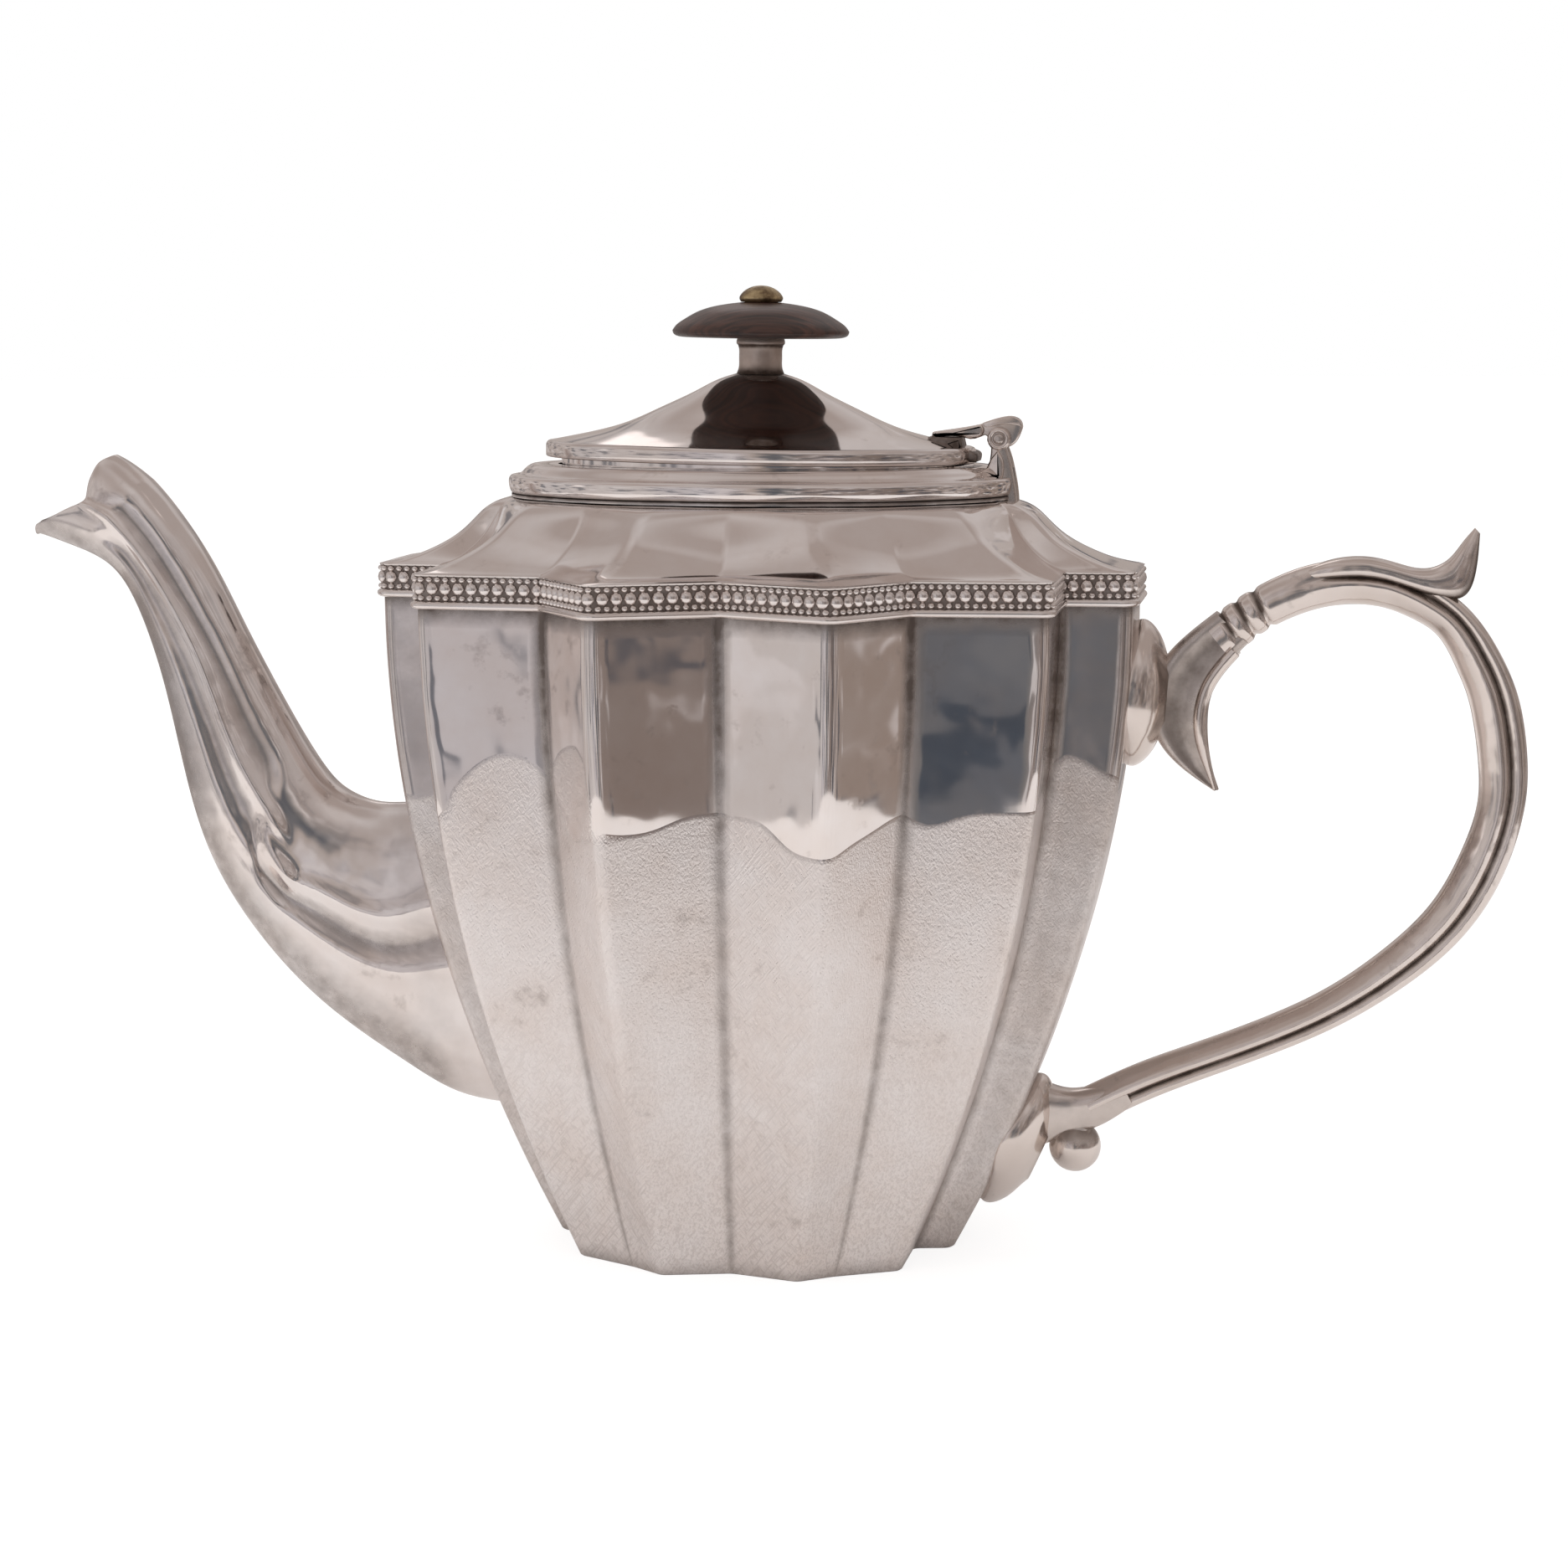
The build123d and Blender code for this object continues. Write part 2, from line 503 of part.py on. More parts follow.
def make_cap():
    """Domed cap nut on top of the disc, with a blind hole for the stud."""
    low = LID_TOP + STEM_HEIGHT + DISC_HEIGHT
    bore = STUD_RADIUS + STUD_CLEARANCE
    dome = [(CAP_RADIUS + out, low + up) for out, up in CAP_DOME]
    tip = (0.0, low + CAP_HEIGHT)
    hole = [(0.0, low + CAP_DEPTH), (bore, low + CAP_DEPTH), (bore, low)]
    outline = [Line((bore, low), dome[0]), Spline(*dome, tip, tangents=[(1, 0.6), (-1, 0)]),
               Line(tip, hole[0]), Line(hole[0], hole[1]), Line(hole[1], hole[2])]
    return revolve(Plane.XZ * make_face(Curve() + outline), Axis.Z)


def stud_floor():
    """Height of the stud's lower end, under the nut."""
    return LID_TOP - LID_SHEET - NUT_HEIGHT - STUD_TAIL


def make_stud():
    """Rod that clamps cap, disc, stem and lid together."""
    top = LID_TOP + STEM_HEIGHT + DISC_HEIGHT + CAP_DEPTH - STUD_CLEARANCE
    length = top - stud_floor()
    return Location((0, 0, stud_floor() + length / 2)) * Cylinder(STUD_RADIUS, length)


def make_nut():
    """Round nut on the stud inside the lid."""
    ceiling = LID_TOP - LID_SHEET - SOLDER_GAP
    nut = Location((0, 0, ceiling - NUT_HEIGHT / 2)) * Cylinder(NUT_RADIUS, NUT_HEIGHT)
    return nut - Location((0, 0, ceiling)) * Cylinder(STUD_RADIUS + STUD_CLEARANCE, 4 * NUT_HEIGHT)


def fit_spout(point):
    """Place a drawn spout point: out with the body's end, up with its rim."""
    return (point[0] - (END_REACH - DRAWN_REACH), point[1] * RIM_HEIGHT / DRAWN_HEIGHT)


def fit_handle(point):
    """Place a drawn handle point: up with the two pads, and out with the end wall at its height."""
    stretch = (UPPER_PAD_HEIGHT - LOWER_PAD_HEIGHT) / (DRAWN_PAD_HIGH - DRAWN_PAD_LOW)
    height = LOWER_PAD_HEIGHT + (point[1] - DRAWN_PAD_LOW) * stretch
    return (point[0] + (END_REACH - DRAWN_REACH) * opened_share(height), height)


def half_section(upper, lower, half_width, shape, side, inset=0.0):
    """Flat-backed wire on one side of Y = 0, in the plane of two edge points and the Y axis.

    An inset wire is the cavity's, so its flat back runs past the parting plane.
    """
    centre = Vector((upper[0] + lower[0]) / 2, 0, (upper[1] + lower[1]) / 2)
    reach = Vector(upper[0], 0, upper[1]) - centre
    reach = reach.normalized() * (reach.length - inset)
    width = side * (half_width - inset)
    points = [centre + reach * along + Vector(0, width * across, 0) for along, across in shape]
    steps = [math.hypot(2 * (b[0] - a[0]), b[1] - a[1]) for a, b in zip(shape, shape[1:])]
    pace = [sum(steps[:i]) / sum(steps) for i in range(len(points))]
    curve = Edge.make_spline(points, tangents=[Vector(0, side, 0), Vector(0, -side, 0)], parameters=pace)
    if not inset:
        return Wire([curve, Edge.make_line(points[-1], points[0])])
    past = Vector(0, -side * inset, 0)
    back = [points[-1], points[-1] + past, points[0] + past, points[0]]
    return Wire([curve] + [Edge.make_line(start, end) for start, end in zip(back, back[1:])])


def half_tube(stations, shape, side, inset=0.0):
    """Solid half of a tube through its stations, flat on the plane Y = 0."""
    return Part() + Solid.make_loft([half_section(upper, lower, width, shape, side, inset)
                                     for upper, lower, width in stations])


def make_spout_half(body, side):
    """Hollow half of the spout, cut to the mouth line and to the body's wall."""
    lip = [fit_spout(point) for point in MOUTH_LINE]
    (notch_x, notch_z), (tip_x, tip_z) = lip[0], lip[-1]
    far = [(tip_x - MOUTH_CLEAR, tip_z), (tip_x - MOUTH_CLEAR, notch_z + MOUTH_CLEAR),
           (notch_x, notch_z + MOUTH_CLEAR)]
    waste = extrude(Plane.XZ * make_face(Polyline(*lip, *far, close=True)), MOUTH_CLEAR, both=True)
    stations = [(fit_spout(upper), fit_spout(lower), width) for upper, lower, width in SPOUT_STATIONS]
    half = half_tube(stations, SPOUT_SECTION, side)
    return half - half_tube(stations, SPOUT_SECTION, side, SPOUT_SHEET) - waste - body


def pad_blank(z):
    """Cushion-shaped pad blank, standing square to the wall at height z."""
    rise = 2 * SLOPE_STEP
    slope = math.atan2(end_wall(z + SLOPE_STEP) - end_wall(z - SLOPE_STEP), rise)
    plane = Plane(origin=(end_wall(z), 0, z), x_dir=(math.sin(slope), 0, math.cos(slope)),
                  z_dir=(math.cos(slope), 0, -math.sin(slope)))
    levels = [(-PAD_SINK, PAD_BLANK)] + [(way * PAD_STAND, size) for way, size in PAD_PROFILE]
    levels.append((PAD_STAND, PAD_NECK))
    sections = []
    for stand, size in levels:
        level = plane.offset(stand)
        sections.append(level * Ellipse(PAD_LENGTH / 2 * size, PAD_WIDTH / 2 * size))
    return loft(sections)


def handle_plate(line, half_width):
    """Flat part of the handle: an outline in the plane Y = 0 carried out to both sides."""
    outline = Polyline(*[fit_handle(point) for point in line], close=True)
    return extrude(Plane.XZ * make_face(outline), half_width, both=True)


def make_handle_casting(body, pads):
    """Cast handle: bracket, bar, thumb spur and ball in one piece, cut to its pads."""
    turns = [math.pi * k / BAR_STEPS for k in range(BAR_STEPS + 1)]
    round_shape = [(math.cos(turn), math.sin(turn)) for turn in turns]
    stations = [(fit_handle(outer), fit_handle(inner), BAR_HALF_WIDTH) for outer, inner in BAR_STATIONS]
    bar = half_tube(stations, round_shape, -1) + half_tube(stations, round_shape, 1)
    bracket = handle_plate(BRACKET_LINE, BRACKET_HALF_WIDTH)
    root = handle_plate(ROOT_LINE, BRACKET_HALF_WIDTH)
    spur = handle_plate(SPUR_LINE, SPUR_HALF_WIDTH)
    ball_x, ball_z = fit_handle(BALL_CENTRE)
    ball = Location((ball_x, 0, ball_z)) * Sphere(BALL_RADIUS)
    casting = bar + bracket + root + spur + ball
    for pad in pads:
        casting -= pad
    return casting - body


def build():
    """All the pieces of the teapot by node name, lid at rest."""
    body = body_blank()
    cover = cover_blank()
    upper_pad = pad_blank(UPPER_PAD_HEIGHT) - body
    lower_pad = pad_blank(LOWER_PAD_HEIGHT) - body
    pieces = {
        "body_shell": make_body_shell(body),
        "base_plate": make_base_plate(),
        "border_wire": make_border_wire(),
        "bead_border": make_bead_border(),
        "shoulder_cover": make_shoulder_cover(cover),
        "neck_collar": make_neck_collar(),
        "lid_seat_ring": make_lid_seat(),
        "hinge_post": make_hinge_post(cover),
        "hinge_pin": pin_hole(0.0),
        "spout_near_half": make_spout_half(body, -1),
        "spout_far_half": make_spout_half(body, 1),
        "handle_upper_pad": upper_pad,
        "handle_lower_pad": lower_pad,
        "handle_casting": make_handle_casting(body, [upper_pad, lower_pad]),
    }
    lid = {
        "lid_shell": make_lid_shell(),
        "lid_bezel": make_lid_bezel(),
        "strap_saddle": saddle_blank(),
        "hinge_strap": make_strap(),
        "knob_stem": make_stem(),
        "knob_disc": make_disc(),
        "knob_cap": make_cap(),
        "knob_stud": make_stud(),
        "knob_nut": make_nut(),
    }
    for name, piece in lid.items():
        pieces[name] = piece.rotate(HINGE_AXIS, LID_TILT)
    return pieces


os.makedirs("parts", exist_ok=True)
for node, shape in build().items():
    export_step(shape, f"parts/{node}.step")
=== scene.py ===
"""Looks of a silver-plated teapot: panelled body, beaded border, domed cover, hinged lid,
wooden knob, cast handle and a spout soldered from two halves.

Sizes are in millimetres and are turned to metres when a mesh is made. +X is the handle's
side, -X the spout's, +Z is up, and the origin is the middle of the base on the table.
"""

import logging
import math
from collections.abc import Sequence
from dataclasses import dataclass, field
from enum import Enum

import bpy
import numpy as np
from mathutils import Matrix, Vector


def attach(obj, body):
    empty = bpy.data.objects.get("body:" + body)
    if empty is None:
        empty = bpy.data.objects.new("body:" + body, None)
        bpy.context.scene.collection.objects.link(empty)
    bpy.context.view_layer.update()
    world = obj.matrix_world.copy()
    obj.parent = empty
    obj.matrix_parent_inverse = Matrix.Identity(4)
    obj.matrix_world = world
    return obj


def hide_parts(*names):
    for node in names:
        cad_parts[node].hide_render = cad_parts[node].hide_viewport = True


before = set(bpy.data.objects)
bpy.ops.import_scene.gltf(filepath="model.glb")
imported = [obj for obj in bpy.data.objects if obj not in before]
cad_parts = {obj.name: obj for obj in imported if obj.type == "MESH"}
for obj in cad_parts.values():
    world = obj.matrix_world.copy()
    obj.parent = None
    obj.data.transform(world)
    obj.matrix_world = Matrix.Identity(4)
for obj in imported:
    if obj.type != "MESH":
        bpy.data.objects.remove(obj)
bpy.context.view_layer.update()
LOG = logging.getLogger("teapot")
MM = 0.001
SHARP_ANGLE = math.radians(48)   # edges sharper than this stay crisp


class Side(Enum):
    """The two sides of the vertical plane through the spout and the handle."""

    NEAR = -1
    FAR = 1


class Body(Enum):
    """The two moving bodies of the teapot."""

    POT = "pot"
    LID = "lid"


# ---- curves ------------------------------------------------------------------------


def through(places: np.ndarray, values: np.ndarray, at: np.ndarray) -> np.ndarray:
    """Natural cubic through values at rising places: its second derivatives solve one linear system.

    Args:
        places: rising parameters of the knots, shape (n,).
        values: knot values, shape (n, k).
        at: parameters to read.

    Returns:
        Values at those parameters, shape (len(at), k).
    """
    step = np.diff(places)
    slope = np.diff(values, axis=0) / step[:, None]
    system = np.eye(len(places))
    rows = np.arange(1, len(places) - 1)
    system[rows, rows - 1] = step[:-1]
    system[rows, rows] = 2 * (step[:-1] + step[1:])
    system[rows, rows + 1] = step[1:]
    right = np.zeros_like(values)
    right[1:-1] = 6 * np.diff(slope, axis=0)
    bend = np.linalg.solve(system, right)
    i = np.clip(np.searchsorted(places, at, side="right") - 1, 0, len(step) - 1)
    h = step[i][:, None]
    before = (at - places[i])[:, None]
    after = (places[i + 1] - at)[:, None]
    cubic = (bend[i] * after ** 3 + bend[i + 1] * before ** 3) / (6 * h)
    line = (values[i] / h - bend[i] * h / 6) * after + (values[i + 1] / h - bend[i + 1] * h / 6) * before
    return cubic + line


def pace_of(values: np.ndarray) -> np.ndarray:
    """Distance along a run of points, from 0, one number a point."""
    lengths = np.linalg.norm(np.diff(values, axis=0), axis=1)
    return np.concatenate([[0.0], np.cumsum(lengths)])


def smooth(knots: Sequence, count: int, closed: bool = False) -> np.ndarray:
    """Cubic curve through knots, read at even distances of its chords.

    Args:
        knots: points of the curve.
        count: points to return.
        closed: True joins the end to the start smoothly.

    Returns:
        Points on the curve, shape (count, k). A closed curve doesn't repeat its start.
    """
    values = np.array(knots, float).reshape(len(knots), -1)
    if not closed:
        pace = pace_of(values)
        return through(pace, values, np.linspace(0, pace[-1], count))
    wrap = min(4, len(values))
    longer = np.vstack([values[-wrap:], values, values[:wrap + 1]])
    pace = pace_of(longer)
    at = np.linspace(pace[wrap], pace[wrap + len(values)], count, endpoint=False)
    return through(pace, longer, at)


def outline(*runs: Sequence, per_run: int = 14) -> np.ndarray:
    """Closed outline of smooth runs that meet at corners, each run starting where the last ended."""
    return np.vstack([smooth(run, per_run)[:-1] for run in runs])


def unit(vectors: np.ndarray) -> np.ndarray:
    """Vectors at length 1 along their last axis."""
    return vectors / np.maximum(np.linalg.norm(vectors, axis=-1, keepdims=True), 1e-12)


def ease(low: float, high: float, at: np.ndarray) -> np.ndarray:
    """0 below low, 1 above high, and a smooth step between them."""
    way = np.clip((at - low) / (high - low), 0, 1)
    return way * way * (3 - 2 * way)


def bell(distance: np.ndarray, width: float) -> np.ndarray:
    """Gaussian bell: 1 at no distance, and 0.37 at one width."""
    return np.exp(-(distance / width) ** 2)


# ---- skins --------------------------------------------------------------------------


@dataclass
class Skin:
    """A closed surface in millimetres.

    The mask of tarnish and painted shade says how far each vertex is darkened towards the tarnish colour, from
    0 on a proud face
    to 1 at the root of a groove: partly real tarnish where polishing never reaches, and partly painted shade in
    hollows, between parts and on faces turned from the light.
    """

    points: np.ndarray
    faces: list
    hollow: np.ndarray

    @classmethod
    def of_grid(cls, grid: np.ndarray, hollow: np.ndarray | None = None, closed_rows: bool = False,
                strip: bool = False) -> "Skin":
        """Surface of a grid whose rows are closed loops.

        Args:
            grid: points, shape (rows, columns, 3). Each column joins the next and the last the first.
            hollow: how far each point is darkened by tarnish and painted shade, shape (rows, columns).
            closed_rows: True joins the last row to the first, as round a ring.
            strip: True closes the two end rows between the outer and the inner half of their
                points, as at the end of a half pipe. Otherwise one flat face closes each.

        Returns:
            The skin, with its faces looking outwards.
        """
        rows, columns = grid.shape[:2]
        hollow = np.zeros((rows, columns)) if hollow is None else np.broadcast_to(hollow, (rows, columns))
        i, j = np.meshgrid(np.arange(rows if closed_rows else rows - 1), np.arange(columns), indexing="ij")
        up, along = (i + 1) % rows, (j + 1) % columns
        quads = np.stack([i * columns + j, i * columns + along, up * columns + along, up * columns + j], -1)
        faces = quads.reshape(-1, 4).tolist()
        if not closed_rows:
            last = (rows - 1) * columns
            if strip:
                k = np.arange(columns // 2 - 1)
                ends = np.stack([k, columns - 1 - k, columns - 2 - k, k + 1], -1)
                faces += ends.tolist() + (ends[:, ::-1] + last).tolist()
            else:
                faces += [list(range(columns))[::-1], list(range(last, last + columns))]
        skin = cls(grid.reshape(-1, 3).copy(), faces, hollow.reshape(-1).copy())
        return skin.outward()

    def outward(self) -> "Skin":
        """Turns every face round if the skin's volume comes out negative.

        The volume is the sum, over each face's fan of triangles, of a.(b x c) / 6.

        Returns:
            The same skin.
        """
        total = 0.0
        sizes = np.array([len(f) for f in self.faces])
        for size in np.unique(sizes):
            group = np.array([f for f in self.faces if len(f) == size])
            corner = self.points[group]
            for k in range(1, size - 1):
                total += np.einsum("ij,ij->", corner[:, 0], np.cross(corner[:, k], corner[:, k + 1]))
        if total < 0:
            self.faces = [f[::-1] for f in self.faces]
        return self

    def __add__(self, other: "Skin") -> "Skin":
        """Both skins in one mesh.

        Args:
            other: the skin to join to this one.

        Returns:
            The joined skin.
        """
        shift = len(self.points)
        moved = [[v + shift for v in f] for f in other.faces]
        return Skin(np.vstack([self.points, other.points]), self.faces + moved,
                    np.concatenate([self.hollow, other.hollow]))

    def turned(self, about: tuple[float, float], degrees: float) -> "Skin":
        """Turned about an axis along +Y through (x, z).

        Args:
            about: the axis, as (x, z).
            degrees: turn that lifts +Z towards +X.

        Returns:
            The same skin.
        """
        angle = math.radians(degrees)
        x, z = self.points[:, 0] - about[0], self.points[:, 2] - about[1]
        self.points[:, 0] = about[0] + x * math.cos(angle) + z * math.sin(angle)
        self.points[:, 2] = about[1] - x * math.sin(angle) + z * math.cos(angle)
        return self

    def make(self, name: str, body: Body, slot: str, material: bpy.types.Material,
             replaced: Sequence[str]) -> bpy.types.Object:
        """Makes the piece from the skin and joins it to its body.

        Args:
            name: the piece's name.
            body: the body it rides on.
            slot: the record's material slot; not used.
            material: its finish.
            replaced: CAD nodes it stands for.

        Returns:
            The piece's object.
        """
        mesh = bpy.data.meshes.new(name)
        mesh.from_pydata((self.points * MM).tolist(), [], self.faces)
        # The mask of tarnish and painted shade goes to the material as a point attribute.
        layer = mesh.attributes.new("hollow", "FLOAT", "POINT")
        layer.data.foreach_set("value", self.hollow.astype(np.float32))
        mesh.materials.append(material)
        mesh.shade_smooth()
        mesh.set_sharp_from_angle(angle=SHARP_ANGLE)
        mesh.validate()
        piece = bpy.data.objects.new(name, mesh)
        bpy.context.scene.collection.objects.link(piece)
        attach(piece, body.value)
        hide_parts(*replaced)
        LOG.info("%s: %d faces on %s, in place of %s", name, len(self.faces), body.value, ", ".join(replaced))
        return piece


def plate(edge_line: np.ndarray, half_width: float, rounding: float, lean: float = 0.0,
          middle: float = 0.0, hollow: float = 0.0) -> Skin:
    """Flat casting: an outline in the plane Y = middle, carried out to both sides with rounded edges.

    Each section is the outline moved inwards along its own normals by r (1 - cos t) at the side
    distance h - r + r sin t, and lean moves the outline in evenly towards the faces.

    Args:
        edge_line: closed outline (x, z), shape (n, 2).
        half_width: half the plate's thickness h.
        rounding: radius r of its edges.
        lean: how far the faces are smaller all round than the middle.
        middle: Y of the middle of its thickness.
        hollow: how far the whole plate is darkened by tarnish and painted shade.

    Returns:
        The plate's skin.
    """
    following = np.roll(edge_line, -1, 0)
    tangent = unit(following - np.roll(edge_line, 1, 0))
    area = np.sum(edge_line[:, 0] * following[:, 1] - edge_line[:, 1] * following[:, 0])
    inward = np.sign(area) * np.stack([-tangent[:, 1], tangent[:, 0]], 1)
    turn = np.linspace(0, math.pi / 2, 6)
    side = half_width - rounding + rounding * np.sin(turn)
    inset = lean * side / half_width + rounding * (1 - np.cos(turn))
    side = np.concatenate([-side[::-1], side])
    inset = np.concatenate([inset[::-1], inset])
    flat = edge_line[None] + inward[None] * inset[:, None, None]
    grid = np.stack([flat[..., 0], np.broadcast_to(side[:, None], flat.shape[:2]) + middle, flat[..., 1]], -1)
    return Skin.of_grid(grid, np.full(grid.shape[:2], hollow))


def rod(path: np.ndarray, radius: np.ndarray, around: int = 12) -> Skin:
    """Round rod along a path that lies in a plane of constant Y: circles square to the path.

    Args:
        path: points of its middle line, shape (n, 3).
        radius: its radius at each point.
        around: points round each circle.

    Returns:
        The rod's skin.
    """
    along = unit(np.gradient(path, axis=0))
    across = np.array([0.0, 1.0, 0.0])
    up = unit(np.cross(along, across))
    turn = np.linspace(0, 2 * math.pi, around, endpoint=False)
    circle = np.cos(turn)[None, :, None] * up[:, None] + np.sin(turn)[None, :, None] * across
    return Skin.of_grid(path[:, None] + circle * np.reshape(radius, (-1, 1, 1)))


def blade(upper: Sequence, lower: Sequence, half_widths: Sequence, rows: int = 60, square: float = 0.62,
          dish: float = 0.0, seam: float = 0.0, hollow: float = 0.0) -> Skin:
    """Tapering casting between two edge lines in the plane Y = 0.

    A section joins the two lines square to that plane: its points are the middle plus
    cos t |cos t|^(e-1) times the reach and w sin t |sin t|^(e-1) to the side.

    Args:
        upper: knots (x, z) of the first edge.
        lower: knots of the second edge, one for each of the first.
        half_widths: half width w at each knot.
        rows: sections along the length.
        square: exponent e. At 1 the section is an ellipse and lower values square it up.
        dish: share of w by which the middle of each face is hollowed.
        seam: how far the second edge, where it lies on another casting, is darkened by tarnish and painted
            shade.
        hollow: how far the whole casting is darkened by tarnish and painted shade.

    Returns:
        The casting's skin.
    """
    knots = np.column_stack([np.array(upper, float), np.array(lower, float), half_widths])
    pace = pace_of((knots[:, :2] + knots[:, 2:4]) / 2)
    s = through(pace, knots, np.linspace(0, pace[-1], rows))
    turn = np.linspace(0, 2 * math.pi, 44, endpoint=False)
    cos, sin = (np.sign(v) * np.abs(v) ** square for v in (np.cos(turn), np.sin(turn)))
    middle, reach = (s[:, :2] + s[:, 2:4]) / 2, (s[:, :2] - s[:, 2:4]) / 2
    flat = middle[:, None] + reach[:, None] * cos[None, :, None]
    low = dish * bell(cos, 0.55)[None]
    y = np.maximum(s[:, 4:5], 0.05) * sin[None] * (1 - low)
    # Tarnish and painted shade: the whole casting darkened, more in the dish of its faces and along its seam.
    blade_patina_and_shade = hollow * (0.6 + low) + seam * bell(cos + 1, 0.4)[None]
    return Skin.of_grid(np.stack([flat[..., 0], y, flat[..., 1]], -1), blade_patina_and_shade)


def lathe(profile: np.ndarray, around: int = 96, hollow: np.ndarray | None = None) -> Skin:
    """Turned ring about the Z axis: each profile point (radius, z) goes round a full circle.

    Args:
        profile: points (radius, z) that run once round the ring's section, shape (n, 2).
        around: points round the circle.
        hollow: how far each profile point is darkened by tarnish and painted shade.

    Returns:
        The ring's skin.
    """
    turn = np.linspace(0, 2 * math.pi, around, endpoint=False)
    grid = np.stack([profile[:, :1] * np.cos(turn), profile[:, :1] * np.sin(turn),
                     np.broadcast_to(profile[:, 1:2], (len(profile), around))], -1)
    return Skin.of_grid(grid, None if hollow is None else hollow[:, None], closed_rows=True)


def ovals(half_length: np.ndarray, half_width: np.ndarray, z: np.ndarray, around: int = 240) -> np.ndarray:
    """Grid of ellipses (a cos t, b sin t), one row for each height.

    Args:
        half_length: half length a of each ellipse, along X.
        half_width: half width b of each.
        z: height of each.
        around: points round each.

    Returns:
        Points, shape (rows, around, 3).
    """
    turn = np.linspace(0, 2 * math.pi, around, endpoint=False)
    return np.stack([half_length[:, None] * np.cos(turn), half_width[:, None] * np.sin(turn),
                     np.broadcast_to(z[:, None], (len(z), around))], -1)


# ---- finishes ------------------------------------------------------------------------


def linear(hex_colour: str) -> tuple[float, float, float, float]:
    """An sRGB colour such as '#C0B8B0' as linear RGBA.

    Args:
        hex_colour: six hex digits after a hash sign.

    Returns:
        Red, green, blue and an alpha of 1.
    """
    srgb = np.array([int(hex_colour[k:k + 2], 16) for k in (1, 3, 5)]) / 255
    rgb = np.where(srgb <= 0.04045, srgb / 12.92, ((srgb + 0.055) / 1.055) ** 2.4)
    return (float(rgb[0]), float(rgb[1]), float(rgb[2]), 1.0)


def per_mm(size: float) -> float:
    """Texture scale whose features are about this many millimetres across on Object coordinates."""
    return 1.0 / (size * MM)


def add(tree: bpy.types.NodeTree, kind: str, inputs: dict | None = None, **settings: object) -> bpy.types.Node:
    """Adds a node.

    Args:
        tree: the node tree.
        kind: the node's type name.
        inputs: sockets by name or number, each given a link from another socket or a value.
        settings: properties of the node.

    Returns:
        The node.
    """
    node = tree.nodes.new(kind)
    for name, value in settings.items():
        setattr(node, name, value)
    for socket, value in (inputs or {}).items():
        if isinstance(value, bpy.types.NodeSocket):
            tree.links.new(value, node.inputs[socket])
        else:
            node.inputs[socket].default_value = value
    return node


def new_material(name: str) -> tuple[bpy.types.Material, bpy.types.NodeTree]:
    """An empty node material and its tree.

    Args:
        name: the material's name.

    Returns:
        The material and its node tree.
    """
    material = bpy.data.materials.new(name)
    material.use_nodes = True
    material.node_tree.nodes.clear()
    return material, material.node_tree


